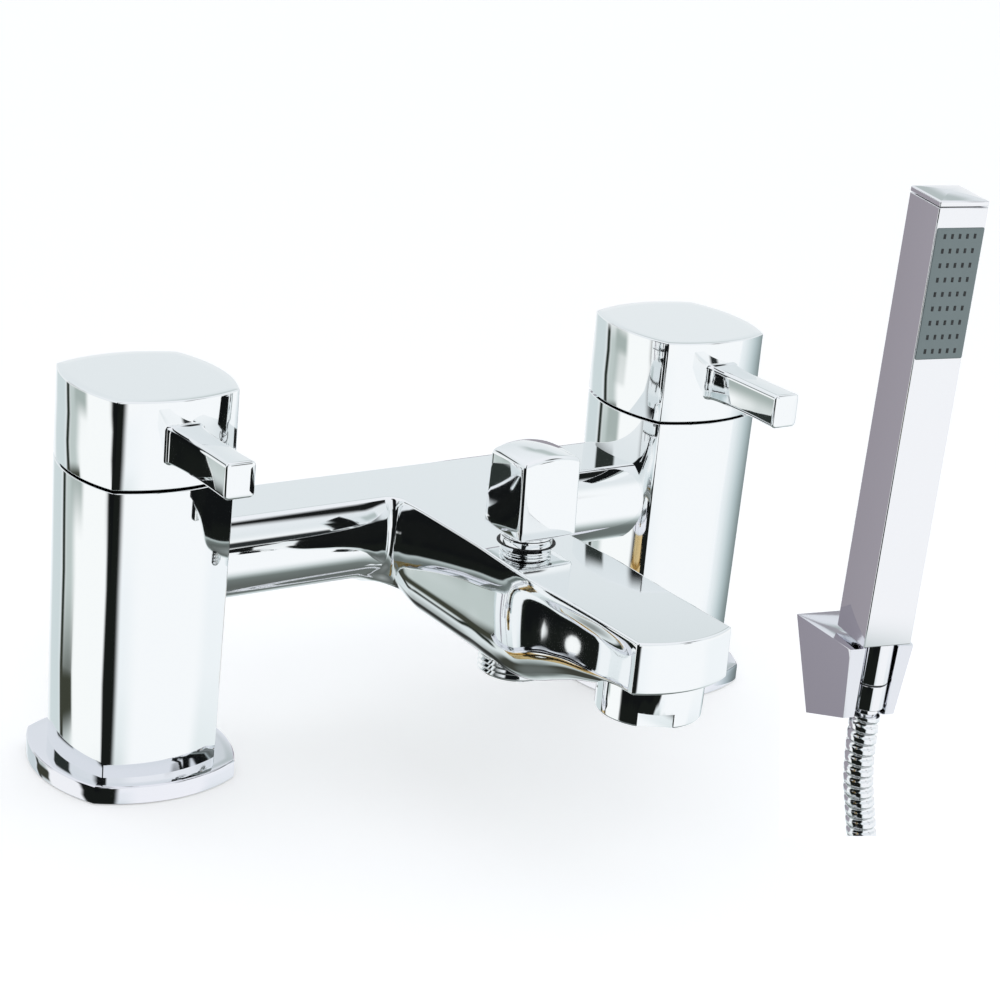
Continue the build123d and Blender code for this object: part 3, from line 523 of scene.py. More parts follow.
def hose_tree():
    """A tube along a curve, its wall wound into flat-crested ribs that climb one pitch a turn."""
    tree, given, result = new_group("GeometryNodeTree", "Hose ribs", {
        "Geometry": "Geometry", "Radius": "Float", "Pitch": "Float", "Depth": "Float",
        "Step": "Float", "Sides": "Int", "Material": "Material",
    }, {"Geometry": "Geometry"})
    asked = given.outputs
    fine = node(tree, "GeometryNodeResampleCurve",
                [("Curve", asked["Geometry"]), ("Length", asked["Step"])], mode="LENGTH")
    line = captured(tree, fine.outputs["Curve"], [
        ("Along", "FLOAT", node(tree, "GeometryNodeSplineParameter").outputs["Length"]),
        ("Middle", "VECTOR", node(tree, "GeometryNodeInputPosition").outputs["Position"]),
    ])
    circle = node(tree, "GeometryNodeCurvePrimitiveCircle",
                  [("Resolution", asked["Sides"]), ("Radius", asked["Radius"])])
    section = captured(tree, circle.outputs["Curve"], [
        ("Round", "FLOAT", node(tree, "GeometryNodeSplineParameter").outputs["Factor"]),
    ])
    tube = node(tree, "GeometryNodeCurveToMesh",
                [("Curve", line["Geometry"]), ("Profile Curve", section["Geometry"]),
                 ("Fill Caps", True)])
    turns = math_node(tree, "DIVIDE", line["Along"], asked["Pitch"])
    share = math_node(tree, "FRACT", math_node(tree, "ADD", turns, section["Round"]))
    crest = math_node(tree, "MINIMUM", smooth_map(tree, share, 0.0, 0.14, 0.0, 1.0),
                      smooth_map(tree, share, 0.6, 0.72, 1.0, 0.0))
    sink = math_node(tree, "MULTIPLY", math_node(tree, "SUBTRACT", crest, 1.0), asked["Depth"])
    place = node(tree, "GeometryNodeInputPosition").outputs[0]
    out = vector_node(tree, "SUBTRACT", place, line["Middle"]).outputs[0]
    unit = vector_node(tree, "NORMALIZE", out).outputs[0]
    shift = node(tree, "ShaderNodeVectorMath", [(0, unit), ("Scale", sink)], operation="SCALE")
    ribbed = node(tree, "GeometryNodeSetPosition",
                  [("Geometry", tube.outputs["Mesh"]), ("Offset", shift.outputs[0])])
    smooth = node(tree, "GeometryNodeSetShadeSmooth", [("Geometry", ribbed.outputs[0])])
    real = node(tree, "GeometryNodeRealizeInstances", [("Geometry", smooth.outputs[0])])
    dressed = node(tree, "GeometryNodeSetMaterial",
                   [("Geometry", real.outputs[0]), ("Material", asked["Material"])])
    plug(tree, result, [("Geometry", dressed.outputs[0])])
    return tree


def evaluated_mesh(name, source):
    """The mesh that an object comes to with its modifiers."""
    bpy.context.view_layer.update()
    graph = bpy.context.evaluated_depsgraph_get()
    mesh = bpy.data.meshes.new_from_object(source.evaluated_get(graph))
    mesh.name = name
    return mesh


def run_tree(name, source, tree, values):
    """A plain mesh object from an object with a geometry tree on it."""
    modifier = source.modifiers.new("tree", "NODES")
    modifier.node_group = tree
    for item in tree.interface.items_tree:
        if item.in_out == "INPUT" and item.name in values:
            modifier[item.identifier] = values[item.name]
    piece = placed(name, evaluated_mesh(name, source))
    source.modifiers.remove(modifier)
    return piece


def make_hose():
    """The ribbed hose from the handset's ferrule to the end nut's ferrule."""
    line = hose_curve()
    path = [tuple(vertex.co) for vertex in evaluated_mesh("hose path", line).vertices]
    hose = run_tree("hose", line, hose_tree(), {
        "Radius": HOSE_R * MM, "Pitch": RIB_PITCH * MM, "Depth": RIB_DEPTH * MM,
        "Step": HOSE_STEP * MM, "Sides": HOSE_SIDES, "Material": HOSE_CHROME,
    })
    bpy.data.objects.remove(line)
    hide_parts("hose_drop", "hose_coil")
    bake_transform(hose)


make_hose()


# Pillars, caps and flanges

def pillar_outline(z, inset):
    """The pillar's outline at a height: it widens steadily up to the seam."""
    share = (z - FLANGE_H) / (SEAM_Z - FLANGE_H)
    half = FOOT_HALF + (HEAD_HALF - FOOT_HALF) * share
    return bulged_outline(half, PILLAR_BULGE, CORNER_R, inset)


def cap_outline(z, inset):
    """The cap's outline, alike at every height."""
    return bulged_outline(HEAD_HALF, PILLAR_BULGE, CORNER_R, inset)


def flange_outline(z, inset):
    """The base flange's outline."""
    return bulged_outline(FLANGE_HALF, FLANGE_BULGE, FLANGE_CORNER_R, inset)


def make_pillar(side, x):
    """One pillar with its handle cap and its flange."""
    for name, cad_name, body, material, outline, *heights_and_rounds in (
        ("pillar", "pillar", "root", CHROME, pillar_outline, FLANGE_H - 0.2, SEAM_Z, 0.05, 0.25),
        ("cap", "handle_cap", f"{side}_handle", CHROME, cap_outline,
         CAP_FOOT_Z, CAP_TOP_Z, 0.25, EDGE_R),
        ("flange", "base_flange", "root", FLANGE_SHADED_CHROME, flange_outline,
         0.0, FLANGE_H, 0.15, FLANGE_ROUND),
    ):
        mesh_piece(f"{side}_{name}_skin", skin(column(outline, x, *heights_and_rounds)),
                   material, body, [f"{side}_{cad_name}"])


def rectangle_ring(width, height, radius, steps=5):
    """A rounded rectangle: points in the plane, from the right side round."""
    ring = []
    for corner, (sx, sy) in enumerate(((1, 1), (-1, 1), (-1, -1), (1, -1))):
        for step in range(steps + 1):
            angle = QUARTER * (corner + step / steps)
            ring.append(Vector((sx * (width / 2 - radius) + radius * math.cos(angle),
                                sy * (height / 2 - radius) + radius * math.sin(angle))))
    return ring


# Lever by place along Y: width and height
LEVER_STATIONS = [
    (2.0 - HEAD_HALF - PILLAR_BULGE, 11.4, 11.0), (-22.6, 11.2, 10.8), (-24.0, 10.0, 10.3),
    (-27.5, 9.1, 10.0), (-34.0, 8.5, 9.8), (-42.0, 8.4, 9.8), (-48.0, 8.6, 9.9), (-52.6, 8.8, 10.0),
]
# Its bowed end: the edges' inset and the way out
LEVER_END = [(0.05, 0.18), (0.17, 0.34), (0.37, 0.47), (0.65, 0.56), (1.3, 0.68), (2.2, 0.8),
             (3.2, 0.88)]
LEVER_RAISE = 0.35


def hermite(start, end, slope_in, slope_out, share):
    """A value between start and end with given slopes."""
    square, cube = share**2, share**3
    return (start * (2 * cube - 3 * square + 1) + slope_in * (cube - 2 * square + share)
            + end * (3 * square - 2 * cube) + slope_out * (cube - square))


def neighbours(stations, index):
    """The stations before, at, after and beyond an index, kept within the list."""
    last = len(stations) - 1
    return (stations[max(index - 1, 0)], stations[index], stations[index + 1],
            stations[min(index + 2, last)])


def smooth_stations(stations, steps):
    """Stations filled in by a smooth curve through them."""
    filled = []
    for index in range(len(stations) - 1):
        for step in range(steps):
            filled.append([
                hermite(here, after, (after - before) / 2, (beyond - here) / 2, step / steps)
                for before, here, after, beyond in zip(*neighbours(stations, index))])
    return filled + [stations[-1]]


def make_lever(side, x):
    """A lever that grows out of the cap's front, narrows and widens again to its bowed end."""
    rings = [lever_ring(x, y, width, height, LEVER_R)
             for y, width, height in smooth_stations(LEVER_STATIONS, 5)]
    y, width, height = LEVER_STATIONS[-1]
    for inset, out in LEVER_END:
        rings.append(lever_ring(x, y - out, width - 2 * inset, height - 2 * inset,
                                max(LEVER_R - inset, 0.3)))
    mesh_piece(f"{side}_lever_skin", skin(rings), CHROME, f"{side}_handle",
               [f"{side}_lever"])


def lever_ring(x, y, width, height, radius):
    """One ring of the lever, a little above its middle line."""
    return [Vector((x + spot.x, y, LEVER_Z + LEVER_RAISE + spot.y))
            for spot in rectangle_ring(width, height, radius, 7)]


for side, x in (("left", -PILLAR_X), ("right", PILLAR_X)):
    make_pillar(side, x)
    make_lever(side, x)


# Bridge and spout: one skin that runs along each arm, round the inner corner and along the spout

ARM_TOP_HALF = 11.2
ARM_START = PILLAR_X - 16.0
INNER_CORNER_R = 4.5
# The arm's section in (out, depth): its fullest point, its lower corner and the drop of its belly
ARM_FULLEST = (4.5, 12.0)
ARM_CORNER = (-1.7, 24.1)
ARM_BELLY = 3.0
SIDE_START = 0.03
SIDE_END = 0.93
BELLY_START = 0.12
NOSE_CORNER_R = 0.95
NOSE_BULGE = 4.0
TOP_EDGE_R = 0.8
SIDE_BOW = 2.0
NOSE_HOLLOW = 1.5
SIDE_ROWS = 14
CORNER_ROWS = 10
BOTTOM_ROWS = 8
ARM_STEPS = 24
INNER_STEPS = 12
SPOUT_STEPS = 60
NOSE_CORNER_STEPS = 6
NOSE_STEPS = 18
# Reaches between which the side's bow fades and the nose's hollow comes and goes, and its depths
BOW_FADE = (78, 112)
HOLLOW_START = (66, 92)
HOLLOW_END = (108, 132)
HOLLOW_DEPTHS = (0.5, 6.0)
# The arm's section turns into the spout's from before the inner corner to past it
BLEND_BEFORE = -7.0
BLEND_PAST = 8.0
# The back's middle takes its section from this turn of the corner, with a longer blend
BACK_TURN = math.radians(51)
BACK_BLEND_PAST = 15.0
STRAIGHT_REACH = 25
# Spout by reach: place, half width at the top, full half width, depth, corner radius
SPOUT_STATIONS = [
    (-15.0, 15.0, 15.0, 34.6, 13.5),
    (20.0, 14.6, 15.0, 34.6, 13.5),
    (50.0, 14.7, 15.0, 34.6, 12.5),
    (62.0, 15.3, 15.6, 34.3, 12.0),
    (74.0, 15.9, 16.1, 33.0, 11.0),
    (84.0, 15.9, 16.2, 29.0, 10.0),
    (95.0, 15.5, 15.9, 24.4, 8.0),
    (105.0, 15.3, 15.6, 20.6, 5.0),
    (113.0, 15.25, 15.5, 17.4, 2.5),
    (119.0, 15.2, 15.45, 15.3, 1.3),
    (128.0, 15.2, 15.4, 14.4, 1.0),
    (133.0, 15.2, 15.4, 14.4, 1.0),
]


def station_at(reach):
    """Spout sizes at a reach, on a smooth curve through the stations."""
    for index in range(len(SPOUT_STATIONS) - 1):
        if reach <= SPOUT_STATIONS[index + 1][0]:
            break
    before, here, after, beyond = neighbours(SPOUT_STATIONS, index)
    span = after[0] - here[0]
    share = min(max((reach - here[0]) / span, 0), 1)
    values = []
    for place in range(1, 5):
        slope_in = (after[place] - before[place]) / (after[0] - before[0])
        slope_out = (beyond[place] - here[place]) / (beyond[0] - here[0])
        values.append(hermite(here[place], after[place], slope_in * span, slope_out * span, share))
    return values


def arc_from_edge(middle, last):
    """Centre, radius and end angles of the arc from (0, 0) through two flat points."""
    (bx, by), (cx, cy) = middle, last
    b, c, area = bx**2 + by**2, cx**2 + cy**2, 2 * (bx * cy - cx * by)
    ux, uy = (b * cy - c * by) / area, (c * bx - b * cx) / area
    return (ux, uy), math.hypot(ux, uy), math.atan2(-uy, -ux), math.atan2(cy - uy, cx - ux)


ARM_ARC = arc_from_edge(ARM_FULLEST, ARM_CORNER)


def arm_side(share):
    """A point on the arm's side: how far out from the top edge and how deep."""
    (ux, uy), radius, start, end = ARM_ARC
    angle = start + (end - start) * share
    return ux + radius * math.cos(angle), uy + radius * math.sin(angle)


def arm_bottom(share):
    """A point on the arm's rounded underside, from its corner to the middle."""
    return (ARM_CORNER[0] - (ARM_TOP_HALF + ARM_CORNER[0]) * share,
            ARM_CORNER[1] + ARM_BELLY * math.sin(QUARTER * share))


def arm_profile():
    """The arm's section rows, with its depth at the corner and in the middle."""
    rows = [arm_side(SIDE_START + (SIDE_END - SIDE_START) * step / SIDE_ROWS)
            for step in range(SIDE_ROWS + 1)]
    foot = arm_bottom(BELLY_START)
    rows += [bend(arm_side(SIDE_END), ARM_CORNER, foot, step / CORNER_ROWS)
             for step in range(1, CORNER_ROWS + 1)]
    return rows, foot[1], ARM_CORNER[1] + ARM_BELLY


def spout_profile(reach):
    """The spout's section rows, matched to the arm's, with its depths."""
    top, full, depth, corner = station_at(reach)
    out = full - top
    rows = []
    for step in range(SIDE_ROWS + 1):
        share = SIDE_START + (1 - SIDE_START) * step / SIDE_ROWS
        rows.append((out * share, (depth - corner) * share))
    for step in range(1, CORNER_ROWS + 1):
        angle = QUARTER * step / CORNER_ROWS
        rows.append((out - corner * (1 - math.cos(angle)), depth - corner * (1 - math.sin(angle))))
    rows = bowed(rows, SIDE_BOW * (1 - smoothstep(*BOW_FADE, reach)))
    hollow = NOSE_HOLLOW * smoothstep(*HOLLOW_START, reach) * (1 - smoothstep(*HOLLOW_END, reach))
    rows = [(across - hollow * smoothstep(*HOLLOW_DEPTHS, down), down) for across, down in rows]
    return rows, depth, depth


def bowed(rows, bow):
    """The rows pushed out along their normals, most of all in the upper half."""
    reached, lengths = 0.0, [0.0]
    for before, after in zip(rows, rows[1:]):
        reached += math.dist(before, after)
        lengths.append(reached)
    pushed = []
    for index, (out, depth) in enumerate(rows):
        before, after = rows[max(index - 1, 0)], rows[min(index + 1, len(rows) - 1)]
        share = lengths[index] / reached
        push = bow * math.sin(math.pi * share) * (1 - share**2) / math.dist(before, after)
        pushed.append((out + (after[1] - before[1]) * push, depth - (after[0] - before[0]) * push))
    return pushed


def blended(first, second, weight):
    """Two matched profiles mixed."""
    def mix(a, b):
        return a * (1 - weight) + b * weight
    rows = [(mix(a[0], b[0]), mix(a[1], b[1])) for a, b in zip(first[0], second[0])]
    return rows, mix(first[1], second[1]), mix(first[2], second[2])


def smoothstep(low, high, value):
    """0 below low, 1 above high, smooth between."""
    share = min(max((value - low) / (high - low), 0), 1)
    return share * share * (3 - 2 * share)


def front_stations():
    """Stations along the left edge in plan: edge point, outward way, inner point and section."""
    arm, round_r = arm_profile(), INNER_CORNER_R
    spout_x, corner_y = SPOUT_HALF - 0.2, -ARM_TOP_HALF
    centre = Vector((-spout_x - round_r, corner_y - round_r))
    quarter = QUARTER * round_r
    stations = []

    def add(edge, way, inner, reach, run):
        """Adds a station at a run past the inner corner's start."""
        weight = smoothstep(BLEND_BEFORE, quarter + BLEND_PAST, run)
        stations.append((edge, way, inner, blended(arm, spout_profile(reach), weight)))

    arm_end = spout_x + round_r
    for step in range(ARM_STEPS + 1):
        x = -ARM_START + (ARM_START - arm_end) * step / ARM_STEPS
        add(Vector((x, corner_y)), Vector((0, -1)), Vector((x, 0)), 10, x + arm_end)
    for step in range(1, INNER_STEPS):
        angle = QUARTER * step / INNER_STEPS
        way = Vector((math.sin(angle), math.cos(angle)))
        reach = min(-centre.y / way.y, -centre.x / way.x)
        add(centre + way * round_r, -way, centre + way * reach, 12, angle * round_r)
    start_y = corner_y - round_r
    end_y = -SPOUT_REACH + NOSE_CORNER_R
    straight_x = station_at(STRAIGHT_REACH)[0]
    for step in range(SPOUT_STEPS + 1):
        y = start_y + (end_y - start_y) * step / SPOUT_STEPS
        if -y > STRAIGHT_REACH:
            top = station_at(-y)[0]
        else:
            top = spout_x + (straight_x - spout_x) * (start_y - y) / (STRAIGHT_REACH + start_y)
        add(Vector((-top, y)), Vector((-1, 0)), Vector((0, y)), -y, quarter + start_y - y)
    return stations + nose_stations(stations[-1][0], end_y)


def nose_stations(last_edge, end_y):
    """Stations round the nose's corner and along its bowed front to the middle."""
    half = -last_edge.x
    big = (half**2 + NOSE_BULGE**2) / (2 * NOSE_BULGE)
    front_turn = math.asin((half - NOSE_CORNER_R) / (big - NOSE_CORNER_R))
    corner = Vector((-half + NOSE_CORNER_R, end_y))
    about = Vector((0, corner.y + (big - NOSE_CORNER_R) * math.cos(front_turn)))
    section = spout_profile(130)
    arcs = [(corner, NOSE_CORNER_R, QUARTER - (QUARTER - front_turn) * step / NOSE_CORNER_STEPS,
             0.1 * step) for step in range(1, NOSE_CORNER_STEPS + 1)]
    arcs += [(about, big, front_turn * (1 - step / NOSE_STEPS), 0.6 + 0.08 * step)
             for step in range(1, NOSE_STEPS + 1)]
    stations = []
    for middle, radius, angle, back in arcs:
        way = Vector((-math.sin(angle), -math.cos(angle)))
        stations.append((middle + way * radius, way, Vector((0, end_y - back)), section))
    return stations


def station_column(edge, way, inner, section):
    """All points of one station, from the top face over the edge, down the side and in below."""
    rows, corner_depth, middle_depth = section
    length = math.hypot(*rows[0])
    start = (rows[0][0] / length * TOP_EDGE_R, rows[0][1] / length * TOP_EDGE_R)
    flat = [(-1.1 * TOP_EDGE_R, 0.0), (-TOP_EDGE_R, 0.0)]
    flat += [bend((-TOP_EDGE_R, 0.0), (0.0, 0.0), start, share / 4) for share in range(1, 5)]
    rows = [row for row in rows if math.hypot(*row) > TOP_EDGE_R * 1.3]
    rows = rows[len(rows) - (SIDE_ROWS + CORNER_ROWS):]
    places = [(edge + way * out, depth) for out, depth in flat + rows]
    last = edge + way * rows[-1][0]
    for step in range(1, BOTTOM_ROWS + 1):
        share = step / BOTTOM_ROWS
        places.append((last.lerp(inner, share),
                       corner_depth + (middle_depth - corner_depth) * math.sin(QUARTER * share)))
    return [Vector((place.x, place.y, BRIDGE_TOP_Z - depth)) for place, depth in places]


def strip(columns):
    """Points and faces of a sheet through columns of equal length."""
    count = len(columns[0])
    points = [point for one in columns for point in one]
    faces = []
    for index in range(len(columns) - 1):
        for row in range(count - 1):
            a = index * count + row
            faces.append((a, a + 1, a + count + 1, a + count))
    return points, faces


def mirrored(columns):
    """The same columns on the other side."""
    return [[Vector((-point.x, point.y, point.z)) for point in one] for one in columns]


def make_bridge():
    """The casting's skin, with its flat top as one face."""
    stations = front_stations()
    front = [station_column(*station) for station in stations]
    north = Vector((0, 1))
    back = [station_column(Vector((inner.x, ARM_TOP_HALF)), north, inner, section)
            for _, _, inner, section in stations if inner.y > -0.001]
    weight = smoothstep(BLEND_BEFORE, BACK_BLEND_PAST, BACK_TURN * INNER_CORNER_R)
    back.append(station_column(Vector((0, ARM_TOP_HALF)), north, Vector((0, 0)),
                               blended(arm_profile(), spout_profile(10), weight)))
    points, faces = [], []
    for columns in (front, mirrored(front), back, mirrored(back)):
        more_points, more_faces = strip(columns)
        faces += [tuple(index + len(points) for index in face) for face in more_faces]
        points += more_points
    top = [one[0] for one in (*front, *reversed(mirrored(front)), *mirrored(back), *reversed(back))]
    faces.append(tuple(range(len(points), len(points) + len(top))))
    mesh_piece("bridge_skin", (points + top, faces), CHROME, "root", ["bridge_spout"])


make_bridge()


# Diverter: knob, neck and shower outlet

KNOB_Y = DIVERTER_Y - 0.9
KNOB_HALF = 9.0
KNOB_HALF_DEEP = 9.1
KNOB_LEAN = 0.9
KNOB_WIDEN = 1.03
KNOB_BULGE = 0.4
KNOB_CORNER_R = 1.1
KNOB_CROWN = (1.6, 0.6)
KNOB_FOOT_Z = 77.3
KNOB_EDGE_Z = 97.6
KNOB_ROUND = 1.4
# (rise, inset) up its foot's round edge, and insets across its top
KNOB_FOOT = [(0, 3.0), (0, 0.8), (0.1, 0.4), (0.35, 0.12), (0.8, 0.0)]
KNOB_TOP_INSETS = [KNOB_ROUND, 1.9, 2.6, 3.6, 4.8, 6.2, 7.4]
KNOB_SIDE_STEPS = 8


def knob_ring(z, share, inset):
    """The knob's outline: its back and front lean in, and its top is bowed like a barrel's."""
    deep = KNOB_HALF_DEEP - KNOB_LEAN * share
    ring = []
    for spot in bulged_outline(KNOB_HALF, KNOB_BULGE, KNOB_CORNER_R, inset, 16, 6):
        across, along = KNOB_CROWN
        rise = across * (1 - (spot.x / KNOB_HALF) ** 2) + along * (1 - (spot.y / KNOB_HALF) ** 2)
        ring.append(Vector((spot.x * KNOB_WIDEN, KNOB_Y + spot.y * deep / KNOB_HALF,
                            z + rise * share**3)))
    return ring


def make_knob():
    """The pull-up knob: leaning sides, round edges and a bowed top."""
    rings = [knob_ring(KNOB_FOOT_Z + rise, 0, inset) for rise, inset in KNOB_FOOT]
    start_z = KNOB_FOOT_Z + KNOB_FOOT[-1][0]
    for step in range(1, KNOB_SIDE_STEPS + 1):
        share = step / KNOB_SIDE_STEPS
        rings.append(knob_ring(start_z + (KNOB_EDGE_Z - start_z) * share, share, 0.0))
    for angle in (12, 24, 36, 48, 60, 75):
        turn = math.radians(angle)
        rings.append(knob_ring(KNOB_EDGE_Z + KNOB_ROUND * math.sin(turn), 1,
                               KNOB_ROUND * (1 - math.cos(turn))))
    rings += [knob_ring(KNOB_EDGE_Z + KNOB_ROUND, 1, inset) for inset in KNOB_TOP_INSETS]
    mesh_piece("knob_skin", skin(rings), CHROME, "diverter", ["diverter_knob"])


def turned_ring(name, corners, z, material, nodes=()):
    """A ring round the diverter's axis, turned from a section that closes on itself."""
    rings = lathe(corners, Vector((0, DIVERTER_Y, z)), UP, EAST)
    mesh_piece(name, skin(rings, capped=False), material, "root", nodes)


def make_gland():
    """The neck under the knob with its two grooves, and a black ring round its foot as a painted
    shadow.
    """
    bore, waist, foot_z, top_z = 4.2, GLAND_R - 0.8, -7.5, 3.5
    corners = [(bore, foot_z), (GLAND_R, foot_z)]
    for z in (1.3, 2.75):
        corners += [(GLAND_R, z), (waist, z + 0.05), (waist, z + 0.45), (GLAND_R, z + 0.5)]
    corners += [(GLAND_R, top_z), (bore, top_z)]
    turned_ring("gland_skin", corners, BRIDGE_TOP_Z, CHROME, ["diverter_gland"])
    # The thin black ring on the bridge's top round the neck is a painted shadow of the gap there,
    # not a part of the mixer.
    inner, outer = GLAND_R + 0.03, GLAND_R + 1.05
    corners = [(inner, -0.4), (outer, -0.4), (outer, 0.05), (inner, 0.05)]
    turned_ring("gland_painted_shadow_ring", corners, BRIDGE_TOP_Z, RUBBER)


def make_outlet():
    """The threaded shower outlet, with its ridges."""
    root_r, top = OUTLET_R - 0.75, 9.5
    corners = [(OUTLET_BORE_R, top), (OUTLET_BORE_R, 0.0), (OUTLET_R - 0.9, 0.0)]
    for turn in range(THREAD_TURNS):
        foot = 0.25 + turn * THREAD_PITCH
        corners += [(root_r, foot), (OUTLET_R, foot + 0.35 * THREAD_PITCH),
                    (OUTLET_R, foot + 0.55 * THREAD_PITCH), (root_r, foot + 0.9 * THREAD_PITCH)]
    corners.append((root_r, top))
    turned_ring("outlet_skin", corners, OUTLET_END_Z, CHROME, ["shower_outlet"])


make_knob()
make_gland()
make_outlet()


# Handset, its inlet and the hose's nut, in the frame of the leaning bar

BAR_ACROSS = Vector((math.cos(KIT_TURN), math.sin(KIT_TURN), 0))
BAR_UP = Vector((math.sin(KIT_TURN) * math.sin(HANDSET_TILT),
                 -math.cos(KIT_TURN) * math.sin(HANDSET_TILT), math.cos(HANDSET_TILT)))
BAR_BACK = BAR_UP.cross(BAR_ACROSS)
INLET_Y = -3.5
BODY_TOP = 175.2
BAR_CORNER_R = 0.55
CAP_GAP = 0.3
CAP_EDGE = 2.2
CROWN = 1.2
# The end cap's round edge and top: inset and drop
CROWN_ROWS = [(0.0, 0.35), (0.1, 0.12), (0.35, 0.0), (1.2, 0.0), (3.0, 0.0), (6.0, 0.0), (9.0, 0.0)]
PLATE_FOOT = 117.3
PLATE_LENGTH = 50.4
PLATE_WIDTH = 20.2
# The plate's edge: inset and the way out of the bar's front
PLATE_ROWS = [(0.0, -0.6), (0.0, 0.1), (0.08, 0.24), (0.25, 0.3), (2.0, 0.3)]
# (radius, height) round each piece of the inlet, from its axis out and back
INLET_PARTS = (
    ("inlet_skin", [(0.5, 0), (6.5, 0), (6.5, -17.3), (0.5, -17.3)], "handset_inlet"),
    ("nut_skin", [(0.5, -18.0), (6.4, -18.0), (6.4, -28.4), (0.5, -28.4)], "hose_nut"),
    ("ferrule_skin", [(0.5, -28.4), (4.4, -28.4), (4.9, -30.4), (4.4, -32.1), (0.5, -32.1)],
     "hose_ferrule"),
)


def on_bar(x, y, height):
    """A place on the handset, in millimetres."""
    return KIT_PLACE + BAR_ACROSS * x + BAR_BACK * y + BAR_UP * height


def bar_outline(inset):
    """The bar's square outline, drawn in by the inset."""
    width = HANDSET_W - 2 * inset
    return rectangle_ring(width, width, max(BAR_CORNER_R - inset, 0.05))


def bar_rings(levels):
    """Square rings up the bar: (height, inset) each."""
    return [[on_bar(spot.x, spot.y, height) for spot in bar_outline(inset)]
            for height, inset in levels]


def make_handset():
    """The bar and its crowned end cap."""
    levels = [(0, 3.0), (0, 0.5), (0.15, 0.15), (0.5, 0)]
    levels += [(BODY_TOP * step / 6, 0) for step in range(1, 6)]
    levels += [(BODY_TOP - 0.3, 0), (BODY_TOP - 0.08, 0.08), (BODY_TOP, 0.35), (BODY_TOP, 3.0)]
    mesh_piece("handset_skin", skin(bar_rings(levels)), KIT_CHROME, "handset",
               ["handset_body"])
    foot = BODY_TOP + CAP_GAP
    rings = bar_rings([(foot, 3.0), (foot, 0.35), (foot + 0.08, 0.08), (foot + 0.3, 0)])
    crown_r = ((HANDSET_W / 2) ** 2 + CROWN**2) / (2 * CROWN)
    for inset, drop in CROWN_ROWS:
        ring = []
        for spot in bar_outline(inset):
            rise = math.sqrt(crown_r**2 - spot.x**2) - crown_r + CROWN
            ring.append(on_bar(spot.x, spot.y, BODY_TOP + CAP_EDGE + rise - drop))
        rings.append(ring)
    mesh_piece("end_cap_skin", skin(rings), KIT_CHROME, "handset", ["handset_end_cap"])


def make_plate():
    """The satin spray plate, a little proud of the bar's front."""
    middle = PLATE_FOOT + PLATE_LENGTH / 2
    rings = []
    for inset, out in PLATE_ROWS:
        ring = rectangle_ring(PLATE_WIDTH - 2 * inset, PLATE_LENGTH - 2 * inset,
                              max(0.7 - inset * 0.5, 0.2))
        rings.append([on_bar(spot.x, -HANDSET_W / 2 - out, middle + spot.y) for spot in ring])
    mesh_piece("plate_skin", skin(rings), PLATE, "handset", ["spray_plate"])


def make_inlet():
    """The handset's round inlet, the hose nut and its ferrule, hanging in the slot."""
    origin = on_bar(0, INLET_Y, 0)
    for name, corners, cad_name in INLET_PARTS:
        rings = lathe(rounded(corners, 0.3), origin, BAR_UP, BAR_ACROSS)
        mesh_piece(name, skin(rings), KIT_CHROME, "handset", [cad_name])


make_handset()
make_plate()
make_inlet()


# Pieces that keep the model's own shape, merged, some with broken edges

def merged_copy(cad_name, material, flatten=False):
    """A copy of a model piece with its points merged, and flat triangles joined where asked."""
    mesh = bpy.data.objects[cad_name].data.copy()
    clean(mesh, CAD_MERGE_WITHIN, flatten, smooth=flatten)
    mesh.materials.clear()
    mesh.materials.append(material)
    return placed(cad_name + "_skin", mesh)


def broken_edges(cad_name, material, width):
    """A copy of a model piece with small bevels on its edges."""
    piece = merged_copy(cad_name, material, flatten=True)
    bevel = piece.modifiers.new("edges", "BEVEL")
    bevel.width = width * MM
    bevel.segments = 3
    bevel.limit_method = "ANGLE"
    bevel.angle_limit = math.radians(30.0)
    bevel.harden_normals = True
    finish_piece(piece, "root", [cad_name])


def make_spring():
    """The diverter's return spring, with a mesh of its own; the real one shortens as the knob is
    pulled up.
    """
    cad_name = "diverter_spring"
    piece = finish_piece(merged_copy(cad_name, STEEL), "root", [cad_name])
    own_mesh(piece)


broken_edges("wall_bracket", BRACKET_SHADED_CHROME, 0.3)
broken_edges("aerator_housing", CHROME, 0.12)
make_spring()


def dress_nodes():
    """Gives each model piece that stays its finish."""
    for entry in frame["record"]["subparts"]:
        piece = bpy.data.objects.get(entry["node"])
        if piece is None or piece.hide_render:
            continue
        piece.data.materials.clear()
        piece.data.materials.append(SLOT_FINISH[entry["material_slot"]])


dress_nodes()


# Stage: a white deck, a floor under the hose and a soft studio round them

def sheet(name, points, material):
    """A one-faced piece of the stage, through points in millimetres."""
    mesh = bpy.data.meshes.new(name)
    face = tuple(range(len(points)))
    mesh.from_pydata([tuple(Vector(point) * MM) for point in points], [], [face])
    mesh.materials.append(material)
    made = placed(name, mesh)
    return made


# The deck is cut to the photographed view, so that it hides the tails and not the hose
DECK = [(-400, 200), (-400, -900), (1300, -900), (1300, -664), (53.3, -114.5), (312, 200)]
DECK_Z = -0.3
FLOOR = [(-3000, -3000), (3000, -3000), (3000, 3000), (-3000, 3000)]
FLOOR_Z = -303.2


def make_stage():
    """The deck slab under the flanges and the floor under the hose, white to the camera."""
    material, tree, shader = blank_material("white stage")
    plug(tree, shader, [("Base Color", (0.9, 0.9, 0.9, 1)), ("Roughness", 0.9),
                        ("Emission Color", (1, 1, 1, 1)), ("Emission Strength", 0.3)])
    for name, corners, z in (("deck", DECK, DECK_Z), ("floor", FLOOR, FLOOR_Z)):
        sheet(name, [(x, y, z) for x, y in corners], material).visible_glossy = False


make_stage()


